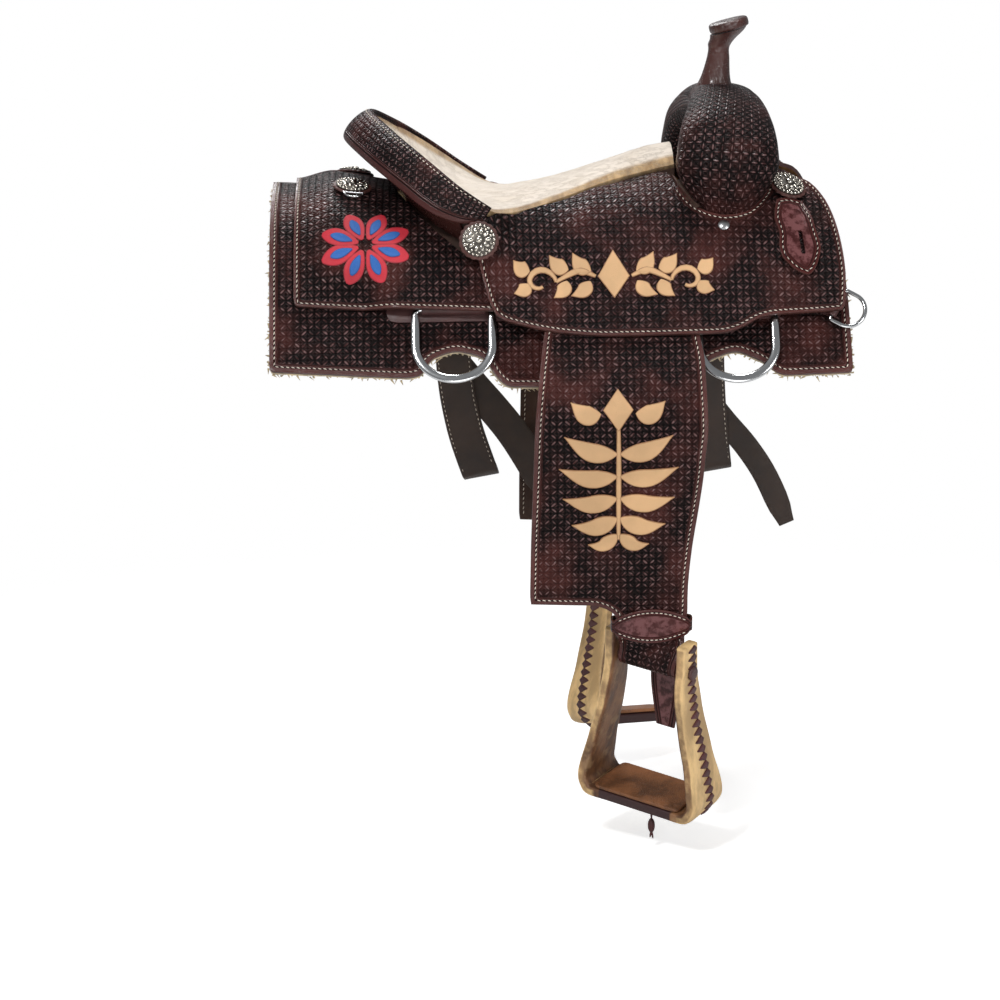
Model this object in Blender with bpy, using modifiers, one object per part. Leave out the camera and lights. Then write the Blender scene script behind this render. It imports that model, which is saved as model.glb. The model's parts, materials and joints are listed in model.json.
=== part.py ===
"""All-around western saddle, built as an assembly of its separate pieces.

Metres. +X points to the horse's head, +Z up, and the origin lies on the centre line where the
horse's back carries the saddle. Each paired piece is made twice: "right" lies at -Y, "left" at +Y.

The leathers are cut as flat patterns and laid over the horse's side. A pattern point is (x, v):
x along the horse, v down the side, with v = 0 where the rounded back turns into the flat side.
A lift is the height over the skirt's outer face, measured square to it.
"""
import math

import bmesh
import bpy
from mathutils import Matrix, Vector

# Horse's side that the saddle is shaped to
side_slope = math.radians(60.0)
side_height = 0.100
side_foot_y = 0.218
side_foot_z = -0.132
back_dip_z = 0.014
back_rise = 0.041
roof_slope_at_ends = math.radians(10.0)
dip_rear_x = -0.060
dip_front_x = 0.040
rear_rise_length = 0.270
front_rise_length = 0.190

# Clearances
seat_gap = 0.0003
slide_gap = 0.0006
pin_gap = 0.0004
curve_gap = 0.0012

# Skirts and fleece
skirt_thickness = 0.0050
skirt_rear_x = -0.331
skirt_front_x = 0.314
channel_half_width = 0.036
fleece_thickness = 0.0115
fleece_margin = 0.0030
notch_radius = 0.034
notch_depth = 0.044

# Rigging
dee_width = 0.0950
dee_wire = 0.0100
dee_thickness = 0.0050
dee_bar = 0.0060
dee_drop = 0.0875
rear_dee_x = -0.1265
rear_dee_v = 0.0310
front_dee_x = 0.1870
front_dee_v = 0.0370
tab_thickness = 0.0022
tab_rise = 0.0350
tab_loop_width = 0.0700
rear_dee_swing_clearance = 0.0004

# Breast collar dees
breast_dee_width = 0.0440
breast_dee_drop = 0.0340
breast_dee_wire = 0.0045
breast_dee_x = 0.3010
breast_dee_v = 0.0335
breast_dee_turn = math.radians(-59.0)
breast_tab_thickness = 0.0018

# String dees under the rear conchos
string_dee_width = 0.0240
string_dee_drop = 0.0130
string_dee_wire = 0.0022
string_tab_thickness = 0.0011

# Tree
bar_thickness = 0.0130
bar_rear_x = -0.268
bar_front_x = 0.252
bar_top_v = -0.148
bar_bottom_v = -0.030
bar_taper = 0.030
bar_edge = 0.003

# Fork
fork_x = 0.1845
fork_half_length = 0.0570
fork_cover_thickness = 0.0025
fork_gap = 0.0025
fork_fullness = 2.7

# Horn
horn_post_radius = 0.0070
horn_tilt = math.radians(6.0)
horn_base_x = 0.1815
horn_base_z = 0.1330
horn_post_length = 0.0840
horn_cap_length = 0.0460
horn_cap_width = 0.0560
horn_cap_thickness = 0.0110
horn_cap_tilt = math.radians(14.0)
horn_cap_x = 0.1970
horn_cap_z = 0.2270

# Seat and cantle
seat_thickness = 0.0080
under_seat_gap = 0.0016
cantle_rear_x = -0.220
cantle_top_z = 0.137
cantle_foot_x = -0.183
cantle_back_thickness = 0.0025
roll_width = 0.0460
roll_thickness = 0.0170

# Jockeys
seat_jockey_thickness = 0.0048
rear_jockey_thickness = 0.0045

# Fender, stirrup leather and hobble strap
fender_thickness = 0.0045
pivot_x = 0.088
pivot_v = 0.0150
fender_flat_end = 0.1220
fender_bend_radius = 0.1300
fender_lean = math.radians(102.0)
leather_width = 0.0750
leather_thickness = 0.0035
leather_top = 0.0020
leather_x = 0.0900
neck_turn = math.radians(36.0)
neck_turn_start = 0.4240
neck_turn_end = 0.4560
hobble_middle = 0.4140
hobble_thickness = 0.0025
hobble_height = 0.0420
hobble_end_height = 0.0140
hobble_width = 0.0920
buckle_height = 0.0200
buckle_thickness = 0.0012
buckle_travel = 0.0300
buckle_place = 0.3080
tail_length = 0.1400
tail_width = 0.0400

# Stirrup
bolt_place = 0.4630
bolt_radius = 0.0045
spacer_radius = 0.0070
bolt_head_radius = 0.0085
bolt_head_height = 0.0040
stirrup_top_width = 0.1080
stirrup_bottom_width = 0.1600
stirrup_rise = 0.0340
stirrup_leg = 0.0130
stirrup_top_depth = 0.0280
stirrup_tread_depth = 0.0680
tread_cover_thickness = 0.0040

# Conchos, keepers and screws
concho_radius = 0.0185
rosette_radius = 0.0225
rosette_thickness = 0.0025
concho_height = 0.0060
concho_post_radius = 0.0050
concho_gap = 0.0012
front_concho_gap = 0.0024
side_concho_gap = 0.0082
keeper_thickness = 0.0030
keeper_slot_length = 0.0240
keeper_slot_width = 0.0050
screw_radius = 0.0065
screw_height = 0.0030

# Straps on the far side
strap_width = 0.0440
strap_play = 0.0015
strap_thickness = 0.0030
billet_drop = 0.1950
latigo_drop = 0.1880
strap_loop_spread = 0.0260

# Colours
dark_leather = (0.060, 0.022, 0.018, 1.0)
suede_tan = (0.560, 0.430, 0.280, 1.0)
horn_leather = (0.045, 0.016, 0.014, 1.0)
flesh_tan = (0.420, 0.200, 0.060, 1.0)
raw_hide = (0.520, 0.360, 0.180, 1.0)
tread_brown = (0.180, 0.070, 0.030, 1.0)
strap_brown = (0.055, 0.026, 0.015, 1.0)
steel = (0.700, 0.700, 0.700, 1.0)
silver = (0.620, 0.590, 0.520, 1.0)
fleece_cream = (0.640, 0.480, 0.260, 1.0)
tree_cream = (0.560, 0.500, 0.380, 1.0)

sides = {"right": -1.0, "left": 1.0}
saddle = bpy.data.collections.new("saddle")
cutters = bpy.data.collections.new("cutters")


def smooth(t):
    """Rise from 0 to 1 with level ends."""
    t = min(max(t, 0.0), 1.0)
    return t * t * (3.0 - 2.0 * t)


def mix(a, b, t):
    return a + (b - a) * t


# The side that everything lies on

flat_top_y = side_foot_y - side_height * math.cos(side_slope)
flat_top_z = side_foot_z + side_height * math.sin(side_slope)


def ridge_z(x):
    """Height of the skirts' outer face on the centre line."""
    if x < dip_rear_x:
        return back_dip_z + back_rise * smooth((dip_rear_x - x) / rear_rise_length)
    return back_dip_z + back_rise * smooth((x - dip_front_x) / front_rise_length)


def back_section(x):
    """Roof slope, roof width and shoulder radius of the cross-section at x."""
    slope = roof_slope_at_ends * (ridge_z(x) - back_dip_z) / back_rise
    sin_gain = math.sin(side_slope) - math.sin(slope)
    cos_gain = math.cos(slope) - math.cos(side_slope)
    rise = ridge_z(x) - flat_top_z
    det = math.cos(slope) * cos_gain - math.sin(slope) * sin_gain
    roof = (flat_top_y * cos_gain - rise * sin_gain) / det
    radius = (math.cos(slope) * rise - math.sin(slope) * flat_top_y) / det
    return slope, roof, radius


def side_point(x, v):
    """Outward y, z and the slope of the skirt's outer face at a pattern point."""
    if v >= 0.0:
        y = flat_top_y + v * math.cos(side_slope)
        return y, flat_top_z - v * math.sin(side_slope), side_slope
    slope, _, radius = back_section(x)
    arc = radius * (side_slope - slope)
    turn = side_slope + max(v, -arc) / radius
    y = flat_top_y - radius * (math.sin(side_slope) - math.sin(turn))
    z = flat_top_z + radius * (math.cos(turn) - math.cos(side_slope))
    rest = max(-v - arc, 0.0)
    return y - rest * math.cos(slope), z + rest * math.sin(slope), turn


def ridge_v(x):
    """Pattern distance from the side line up to the centre line."""
    slope, roof, radius = back_section(x)
    return -(roof + radius * (side_slope - slope))


def lay(x, v, lift):
    """Outward point (x, y, z) over a pattern point, y counted outwards from the centre."""
    y, z, slope = side_point(x, v)
    return Vector((x, y + lift * math.sin(slope), z + lift * math.cos(slope)))


def v_at(x, y):
    """Pattern v of the skirt's outer face at an outward distance y."""
    slope, _, radius = back_section(x)
    if y >= flat_top_y:
        return (y - flat_top_y) / math.cos(side_slope)
    sine = math.sin(side_slope) - (flat_top_y - y) / radius
    if sine >= math.sin(slope):
        return -radius * (side_slope - math.asin(sine))
    shoulder_y = flat_top_y - radius * (math.sin(side_slope) - math.sin(slope))
    return -radius * (side_slope - slope) - (shoulder_y - y) / math.cos(slope)


# Meshes and materials

def material(name, colour, roughness, metallic=0.0):
    made = bpy.data.materials.new(name)
    made.use_nodes = True
    shader = made.node_tree.nodes["Principled BSDF"]
    shader.inputs["Base Color"].default_value = colour
    shader.inputs["Roughness"].default_value = roughness
    shader.inputs["Metallic"].default_value = metallic
    return made


def place(name, data, finish, origin=(0.0, 0.0, 0.0)):
    """Put mesh or curve data in the saddle's collection as one named piece."""
    piece = bpy.data.objects.new(name, data)
    piece.location = origin
    colour, roughness, metallic = finish
    data.materials.append(material(name, colour, roughness, metallic))
    saddle.objects.link(piece)
    return piece


def mesh_from(name, points, faces, origin=(0.0, 0.0, 0.0)):
    """Closed mesh from points and faces, its faces turned outwards."""
    data = bpy.data.meshes.new(name)
    offset = Vector(origin)
    data.from_pydata([Vector(p) - offset for p in points], [], faces)
    work = bmesh.new()
    work.from_mesh(data)
    bmesh.ops.remove_doubles(work, verts=work.verts, dist=0.00001)
    bmesh.ops.recalc_face_normals(work, faces=work.faces)
    if work.calc_volume(signed=True) < 0.0:
        bmesh.ops.reverse_faces(work, faces=work.faces)
    work.to_mesh(data)
    work.free()
    data.shade_smooth()
    data.set_sharp_from_angle(angle=math.radians(40.0))
    return data


def grid_faces(rows, columns, start=0, closed=False):
    """Quads of a grid of points that runs row by row."""
    faces = []
    last = columns if closed else columns - 1
    for i in range(rows - 1):
        for j in range(last):
            k = (j + 1) % columns
            a = start + i * columns
            b = a + columns
            faces.append((a + j, a + k, b + k, b + j))
    return faces


def shell_faces(rows, columns):
    """Faces of a plate: two grids one after the other, joined round their rim."""
    count = rows * columns
    faces = grid_faces(rows, columns)
    faces += [tuple(reversed(f)) for f in grid_faces(rows, columns, count)]
    rim = [j for j in range(columns)]
    rim += [i * columns + columns - 1 for i in range(1, rows)]
    rim += [(rows - 1) * columns + j for j in range(columns - 2, -1, -1)]
    rim += [i * columns for i in range(rows - 2, 0, -1)]
    for a, b in zip(rim, rim[1:] + rim[:1]):
        faces.append((b, a, count + a, count + b))
    return faces


def tube_faces(rows, columns, ring=False):
    """Faces of a run of closed sections, capped at both ends or joined into a ring."""
    faces = grid_faces(rows, columns, closed=True)
    if ring:
        last = (rows - 1) * columns
        for j in range(columns):
            k = (j + 1) % columns
            faces.append((last + j, last + k, k, j))
        return faces
    faces.append(tuple(range(columns - 1, -1, -1)))
    faces.append(tuple((rows - 1) * columns + j for j in range(columns)))
    return faces


def even(count):
    """Shares set evenly from 0 to 1."""
    return [i / (count - 1) for i in range(count)]


def mirror(point, side):
    return Vector((point[0], point[1] * side, point[2]))


def rounded(points, radius, arc_steps=4):
    """Open run of pattern points with its inner corners rounded."""
    run = [Vector(points[0])]
    for before, corner, after in zip(points, points[1:], points[2:]):
        corner = Vector(corner)
        back = Vector(before) - corner
        ahead = Vector(after) - corner
        cut = min(radius, back.length * 0.45, ahead.length * 0.45)
        start = corner + back.normalized() * cut
        end = corner + ahead.normalized() * cut
        for step in range(arc_steps + 1):
            t = step / arc_steps
            run.append(start * (1 - t) ** 2 + corner * 2 * t * (1 - t) + end * t ** 2)
    run.append(Vector(points[-1]))
    return run


def at_share(run, share):
    """Point of a run at a share of its length."""
    lengths = [0.0]
    for a, b in zip(run, run[1:]):
        lengths.append(lengths[-1] + (b - a).length)
    want = lengths[-1] * min(max(share, 0.0), 1.0)
    k = 0
    while k < len(run) - 2 and lengths[k + 1] < want:
        k += 1
    return run[k].lerp(run[k + 1], (want - lengths[k]) / max(lengths[k + 1] - lengths[k], 1e-9))


def spaced(run, count):
    """The run's points set evenly along its length."""
    return [at_share(run, i / (count - 1)) for i in range(count)]


def patch(top, bottom, rear, front, columns, shares):
    """Pattern points that fill four border runs, row by row at shares of the way down."""
    top = spaced(top, columns)
    bottom = spaced(bottom, columns)
    rear = [at_share(rear, t) for t in shares]
    front = [at_share(front, t) for t in shares]
    points = []
    for i, t in enumerate(shares):
        for j in range(columns):
            s = j / (columns - 1)
            across = top[j].lerp(bottom[j], t) + rear[i].lerp(front[i], s)
            corners = top[0].lerp(top[-1], s).lerp(bottom[0].lerp(bottom[-1], s), t)
            points.append(across - corners)
    return points


def leather(name, side, pattern, columns, rows, inner, outer, finish):
    """A leather laid over the side between two lifts, as one closed plate."""
    points = [mirror(lay(p[0], p[1], outer(p[0], p[1])), side) for p in pattern]
    points += [mirror(lay(p[0], p[1], inner(p[0], p[1])), side) for p in pattern]
    return place(name, mesh_from(name, points, shell_faces(rows, columns)), finish)


def strap_faces(rows, ring=False, turned_at=None):
    """Faces of a four-sided strap, its broad sides split along the same diagonals.

    From the row turned_at on they are split the other way, for a strap that doubles back on itself.
    """
    faces = []
    for n, face in enumerate(tube_faces(rows, 4, ring)):
        row, column = divmod(n, 4)
        doubled = turned_at is not None and row >= turned_at
        if (column == 0 and doubled) or (column == 2 and not doubled):
            face = face[1:] + face[:1]
        faces.append(face)
    return faces


def ribbon(name, side, frames, finish, origin=(0.0, 0.0, 0.0), ring=False, turned_at=None):
    """A strap: frames of (centre, half width vector, half thickness vector) in outward points."""
    points = []
    for centre, across, through in frames:
        for a, b in ((-1, -1), (1, -1), (1, 1), (-1, 1)):
            points.append(mirror(centre + across * a + through * b, side))
    data = mesh_from(name, points, strap_faces(len(frames), ring, turned_at), origin)
    return place(name, data, finish, origin)


def cut(piece, cutter, operation="DIFFERENCE"):
    """Cut a piece by a hidden cutter, or join it to one."""
    modifier = piece.modifiers.new(cutter.name, "BOOLEAN")
    modifier.operation = operation
    modifier.object = cutter
    modifier.solver = "EXACT"


def cutter_from(name, data, origin=(0.0, 0.0, 0.0)):
    made = bpy.data.objects.new(name, data)
    made.location = origin
    made.hide_render = True
    made.display_type = "WIRE"
    cutters.objects.link(made)
    return made


def level(value):
    """Lift function of one height all over."""
    return lambda x, v: value


def side_frame(side, x, v, lift, gap=0.0, turn=0.0, step=0.004):
    """Matrix of a place on a leather: local X along the horse, Y down the side, Z outwards."""
    along = lay(x + step, v, lift(x + step, v)) - lay(x - step, v, lift(x - step, v))
    down = lay(x, v + step, lift(x, v + step)) - lay(x, v - step, lift(x, v - step))
    out = along.cross(down).normalized()
    down = out.cross(along).normalized()
    point = mirror(lay(x, v, lift(x, v)) + out * gap, side)
    out = mirror(out, side)
    down = mirror(down, side)
    frame = Matrix((down.cross(out), down, out)).transposed()
    return Matrix.Translation(point) @ (frame @ Matrix.Rotation(turn * side, 3, "Z")).to_4x4()


# Lifts of the layers over the skirt

bar_top_lift = curve_gap + bar_thickness
dee_bore = math.hypot(dee_bar, dee_thickness) / 2 + pin_gap
tab_radius = dee_bore + tab_thickness
dee_lift = seat_gap + tab_radius
rigging_lift = seat_gap + 2 * tab_radius
fender_lift = rigging_lift + slide_gap
rear_jockey_lift = rigging_lift + rear_dee_swing_clearance
seat_jockey_lift = max(fender_lift + fender_thickness + slide_gap,
                       rear_jockey_lift + rear_jockey_thickness + seat_gap)
breast_bore = math.hypot(breast_dee_wire, breast_dee_wire * 0.9) / 2 + pin_gap
breast_tab_radius = breast_bore + breast_tab_thickness
breast_lift = seat_gap + breast_tab_radius
front_jockey_lift = seat_gap + 2 * breast_tab_radius + slide_gap


def window(value, low, high, ramp):
    """1 between low and high, falling to 0 over a ramp outside them."""
    return smooth((value - low) / ramp + 1.0) * smooth((high - value) / ramp + 1.0)


def bar_share(x, v):
    return window(x, bar_rear_x + bar_taper, bar_front_x - bar_taper, bar_taper) * window(
        v, bar_top_v + bar_taper / 2, bar_bottom_v - bar_taper / 2, bar_taper / 2)


def rear_jockey_inner(x, v):
    """Rear jockey's underside: over the bar, down to the skirt at the rear, up over the dee tab."""
    over_bar = (bar_top_lift + curve_gap) * window(x, bar_rear_x, bar_front_x, bar_taper) * window(
        v, bar_top_v, bar_bottom_v, 0.030)
    rigging_start = rear_dee_x - dee_width / 2 - 0.012
    over_tab = (rear_jockey_lift - seat_gap) * smooth((x - rigging_start) / 0.050 + 1.0) * smooth(
        (v + 0.060) / 0.045)
    return max(over_bar, over_tab + seat_gap, curve_gap)


def seat_border(x):
    """Height over the skirt that the seat jockey reaches at its upper edge."""
    marks = ((-0.104, 0.047), (-0.081, 0.0495), (-0.049, 0.0330), (-0.003, 0.0310), (0.043, 0.0400),
             (0.090, 0.0440), (0.160, 0.0420), (0.230, 0.0340), (0.270, 0.0210), (0.312, 0.0140))
    return along_marks(marks, x)


def along_marks(marks, x):
    """Value at x of a smooth run through (x, value) marks."""
    if x <= marks[0][0]:
        return marks[0][1]
    for (x0, value0), (x1, value1) in zip(marks, marks[1:]):
        if x <= x1:
            return mix(value0, value1, smooth((x - x0) / (x1 - x0)))
    return marks[-1][1]


jockey_top_marks = ((-0.104, -0.046), (-0.081, -0.0480), (-0.049, -0.0690), (-0.003, -0.0930),
                    (0.043, -0.1110), (0.090, -0.1230), (0.126, -0.1320), (0.240, -0.1400),
                    (0.312, -0.1400))


def seat_jockey_inner(x, v):
    """Seat jockey's underside: flat over the fender, up to the seat, down to the front edge."""
    low = mix(seat_jockey_lift, front_jockey_lift, smooth((x - front_dee_x) / 0.090))
    high = seat_border(x) - seat_jockey_thickness
    top = along_marks(jockey_top_marks, x)
    return mix(low, high, max(v / top, 0.0) ** 1.25)


def seat_jockey_outer(x, v):
    return seat_jockey_inner(x, v) + seat_jockey_thickness


# Fender sheet: flat down the side, then bent to hang

def fender_point(length, offset=0.0):
    """Outward y, z and slope on the fender's middle face at a length below the side line."""
    lift = fender_lift + fender_thickness / 2
    flat = min(length, fender_flat_end)
    y = flat_top_y + flat * math.cos(side_slope) + lift * math.sin(side_slope)
    z = flat_top_z - flat * math.sin(side_slope) + lift * math.cos(side_slope)
    bend = max(min(length - fender_flat_end, fender_bend_radius * (fender_lean - side_slope)), 0.0)
    turn = side_slope + bend / fender_bend_radius
    y += fender_bend_radius * (math.sin(turn) - math.sin(side_slope))
    z -= fender_bend_radius * (math.cos(side_slope) - math.cos(turn))
    rest = max(length - fender_flat_end - fender_bend_radius * (fender_lean - side_slope), 0.0)
    y += rest * math.cos(turn)
    z -= rest * math.sin(turn)
    return y + offset * math.sin(turn), z + offset * math.cos(turn), turn


# Seat: a loft from the fork back to the cantle's rim

seat_centre_run = [Vector(p) for p in (
    (0.1290, 0.0, 0.0930), (0.1000, 0.0, 0.0880), (0.0600, 0.0, 0.0760), (0.0200, 0.0, 0.0620),
    (-0.0300, 0.0, 0.0480), (-0.0800, 0.0, 0.0400), (-0.1250, 0.0, 0.0450), (-0.1650, 0.0, 0.0620),
    (-0.1950, 0.0, 0.0920), (cantle_rear_x + 0.0040, 0.0, cantle_top_z - 0.0080))]
seat_border_run = [Vector(p) for p in (
    (0.1290, 0.0600, 0.0740), (0.0950, 0.0650, 0.0670), (0.0500, 0.0750, 0.0570),
    (0.0050, 0.0950, 0.0440), (-0.0400, 0.1230, 0.0330), (-0.0780, 0.1560, 0.0340),
    (-0.1120, 0.1560, 0.0560), (-0.1500, 0.1290, 0.0860), (-0.1850, 0.0900, 0.1120),
    (cantle_rear_x + 0.0070, 0.0300, cantle_top_z - 0.0050))]
seat_rows_per_span = 2
seat_columns = 10


def through(points, per_span):
    """Smooth run through points, with per_span steps between each two."""
    run = []
    last = len(points) - 1
    for i in range(last):
        a = points[max(i - 1, 0)]
        b = points[i]
        c = points[i + 1]
        d = points[min(i + 2, last)]
        for step in range(per_span):
            t = step / per_span
            run.append(0.5 * (2 * b + (c - a) * t + (2 * a - 5 * b + 4 * c - d) * t * t
                              + (3 * b - a - 3 * c + d) * t ** 3))
    run.append(points[-1])
    return run


def seat_grid(thickness, gap=0.0):
    """Points of the seat's top face, sunk by its thickness and a gap, row by row."""
    centres = through(seat_centre_run, seat_rows_per_span)
    borders = through(seat_border_run, seat_rows_per_span)
    rows = []
    for centre, border in zip(centres, borders):
        row = []
        for j in range(seat_columns + 1):
            w = 2.0 * j / seat_columns - 1.0
            share = abs(w) ** 2.2
            row.append(Vector((mix(centre.x, border.x, w * w), border.y * w,
                               mix(centre.z, border.z, share))))
        rows.append(row)
    out = []
    for i, row in enumerate(rows):
        for j, point in enumerate(row):
            ahead = rows[max(i - 1, 0)][j] - rows[min(i + 1, len(rows) - 1)][j]
            across = row[min(j + 1, seat_columns)] - row[max(j - 1, 0)]
            normal = ahead.cross(across).normalized()
            w = 2.0 * j / seat_columns - 1.0
            share = (1.0 - 0.55 * w ** 4) * (1.0 - 0.55 * (i / (len(rows) - 1)) ** 8)
            out.append(point - normal * (thickness * share + gap))
    return out, len(rows), seat_columns + 1


def build_skirts():
    for name, side in sides.items():
        ridge_start = ridge_v(skirt_rear_x) + 0.0010
        top = [Vector(p) for p in ((skirt_rear_x, ridge_start), (-0.250, ridge_v(-0.250) + 0.0010))]
        top += [Vector((x, v_at(x, channel_half_width))) for x in (-0.190, -0.100, 0.0, 0.100, 0.180)]
        top += [Vector((0.230, v_at(0.230, channel_half_width + 0.012)))]
        top += [Vector((0.285, v_at(0.285, channel_half_width + 0.030)))]
        rear_low, mid_low, front_low = 0.0980, 0.1205, 0.1110
        rear_notch = rear_dee_x + 0.0015
        front_notch = front_dee_x - 0.0015
        low = [(skirt_rear_x, rear_low - 0.012), (skirt_rear_x, rear_low), (-0.180, 0.1080)]
        low += [(rear_notch - notch_radius - 0.004, 0.1060), (rear_notch - notch_radius + 0.006, 0.0860)]
        low += [(rear_notch, mid_low - notch_depth), (rear_notch + notch_radius - 0.002, 0.0850)]
        low += [(rear_notch + notch_radius + 0.010, 0.1080), (rear_notch + notch_radius + 0.022, mid_low)]
        low += [(0.060, 0.1230), (front_notch - notch_radius - 0.008, mid_low - 0.002)]
        low += [(front_notch - notch_radius + 0.002, 0.0940), (front_notch, 0.0825)]
        low += [(front_notch + notch_radius - 0.004, 0.0960), (front_notch + notch_radius + 0.014, 0.1130)]
        low += [(skirt_front_x, front_low), (skirt_front_x + 0.0005, front_low - 0.010)]
        bottom = rounded(low, 0.010)
        rear = [Vector((skirt_rear_x, ridge_start)), Vector((skirt_rear_x, rear_low - 0.012))]
        front = rounded([(0.285, top[-1].y), (0.299, -0.110), (0.308, -0.050),
                         (skirt_front_x, 0.020), (skirt_front_x + 0.0005, front_low - 0.010)], 0.03)
        columns = 28
        shares = [0.0, 0.12, 0.24, 0.36, 0.48, 0.60, 0.80, 1.0]
        rows = len(shares)
        pattern = patch(top, bottom, rear, front, columns, shares)
        leather("skirt_" + name, side, pattern, columns, rows,
                lambda x, v: -skirt_thickness, lambda x, v: 0.0, (dark_leather, 0.45, 0.0))
        inset = list(pattern)
        for k in range(len(pattern)):
            i, j = divmod(k, columns)
            if i in (0, rows - 1) or j in (0, columns - 1):
                inner_k = (min(max(i, 1), rows - 2)) * columns + min(max(j, 1), columns - 2)
                way = (pattern[inner_k] - pattern[k]).normalized()
                inset[k] = pattern[k] + way * fleece_margin
        leather("fleece_" + name, side, inset, columns, rows,
                lambda x, v: -skirt_thickness - curve_gap - fleece_thickness,
                lambda x, v: -skirt_thickness - curve_gap, (fleece_cream, 0.95, 0.0))


def build_tree_bars():
    for name, side in sides.items():
        top = rounded([(bar_rear_x, -0.110), (bar_rear_x + 0.020, bar_top_v + 0.010),
                       (bar_rear_x + 0.080, bar_top_v), (bar_front_x - 0.070, bar_top_v),
                       (bar_front_x - 0.015, bar_top_v + 0.012), (bar_front_x, -0.110)], 0.03)
        low = rounded([(bar_rear_x, -0.080), (bar_rear_x + 0.020, bar_bottom_v - 0.008),
                       (bar_rear_x + 0.080, bar_bottom_v), (bar_front_x - 0.070, bar_bottom_v),
                       (bar_front_x - 0.015, bar_bottom_v - 0.010), (bar_front_x, -0.080)], 0.03)
        rear = [Vector((bar_rear_x, -0.110)), Vector((bar_rear_x, -0.080))]
        front = [Vector((bar_front_x, -0.110)), Vector((bar_front_x, -0.080))]
        columns, rows = 16, 6
        pattern = patch(top, low, rear, front, columns, even(rows))
        leather("tree_bar_" + name, side, pattern, columns, rows,
                lambda x, v: curve_gap,
                lambda x, v: curve_gap + bar_edge + (bar_thickness - bar_edge) * bar_share(x, v),
                (tree_cream, 0.60, 0.0))


def build_rear_jockeys():
    foot = cantle_foot_run(cantle_back_thickness + curve_gap + 0.0055)
    for name, side in sides.items():
        rear_x = -0.3035
        top = [Vector((rear_x, ridge_v(rear_x) + 0.0006)), Vector((-0.240, ridge_v(-0.240) + 0.0006))]
        top += [Vector((p[0], v_at(p[0], max(p[1], 0.0004)))) for p in foot]
        top += [Vector((-0.066, -0.022))]
        low = rounded([(rear_x, 0.015), (rear_x + 0.002, 0.0235), (-0.185, 0.0325),
                       (-0.070, 0.0385), (-0.066, 0.030)], 0.006)
        rear = [top[0], low[0]]
        front = [top[-1], low[-1]]
        columns, rows = 20, 8
        pattern = patch(top, low, rear, front, columns, even(rows))
        leather("rear_jockey_" + name, side, pattern, columns, rows, rear_jockey_inner,
                lambda x, v: rear_jockey_inner(x, v) + rear_jockey_thickness,
                (dark_leather, 0.45, 0.0))


def build_seat_jockeys():
    for name, side in sides.items():
        top = rounded([(-0.104, -0.046), (-0.081, -0.0480), (-0.049, -0.0690), (-0.003, -0.0930),
                       (0.043, -0.1110), (0.090, -0.1230), (0.1215, -0.1300), (0.1290, -0.0980),
                       (0.1460, -0.0720), (0.1770, -0.0610), (0.2070, -0.0680), (0.2290, -0.0950),
                       (0.2420, -0.1380), (0.2560, -0.1400)], 0.012, 2)
        low = rounded([(-0.079, 0.045), (-0.070, 0.0520), (-0.042, 0.0605), (-0.009, 0.0675),
                       (0.034, 0.0720), (0.101, 0.0720), (0.174, 0.0710), (0.192, 0.0650),
                       (0.212, 0.0525), (0.228, 0.0485), (0.258, 0.0460), (0.306, 0.0430),
                       (0.3085, 0.034)], 0.012, 2)
        rear = rounded([(-0.104, -0.046), (-0.099, -0.0200), (-0.093, 0.0010), (-0.086, 0.031),
                        (-0.079, 0.045)], 0.012, 2)
        front = rounded([(0.256, -0.1400), (0.282, -0.1260), (0.2965, -0.0960), (0.3045, -0.0628),
                         (0.3088, -0.0314), (0.311, 0.0), (0.3085, 0.034)], 0.012, 2)
        columns, rows = 30, 7
        pattern = patch(top, low, rear, front, columns, even(rows))
        jockey = leather("seat_jockey_" + name, side, pattern, columns, rows,
                         seat_jockey_inner, seat_jockey_outer, (dark_leather, 0.45, 0.0))
        fork = fork_solid("fork_room_jockey_" + name, -seat_gap)
        cut(jockey, cutter_from("fork_room_jockey_" + name, fork))
        roll = roll_mesh("roll_room_jockey_" + name, seat_gap)
        cut(jockey, cutter_from("roll_room_jockey_" + name, roll))


# Fork: an arch of sections from one foot on its bar to the other

fork_outer_run = ((0.1360, -0.0080), (0.1430, 0.0200), (0.1530, 0.0450), (0.1580, 0.0750), (0.1500, 0.1050),
                  (0.1250, 0.1300), (0.0850, 0.1480), (0.0400, 0.1580), (0.0, 0.1600))
fork_inner_run = ((0.0900, 0.0320), (0.0880, 0.0440), (0.0860, 0.0580), (0.0800, 0.0720), (0.0720, 0.0860),
                  (0.0580, 0.0970), (0.0380, 0.1050), (0.0180, 0.1090), (0.0, 0.1100))
fork_length_marks = (0.40, 0.52, 0.80, 1.00, 0.99, 0.94, 0.84, 0.76, 0.72)
fork_shift_marks = (-0.002, -0.002, -0.001, 0.000, 0.0010, 0.0025, 0.0050, 0.0065, 0.0065)


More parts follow.
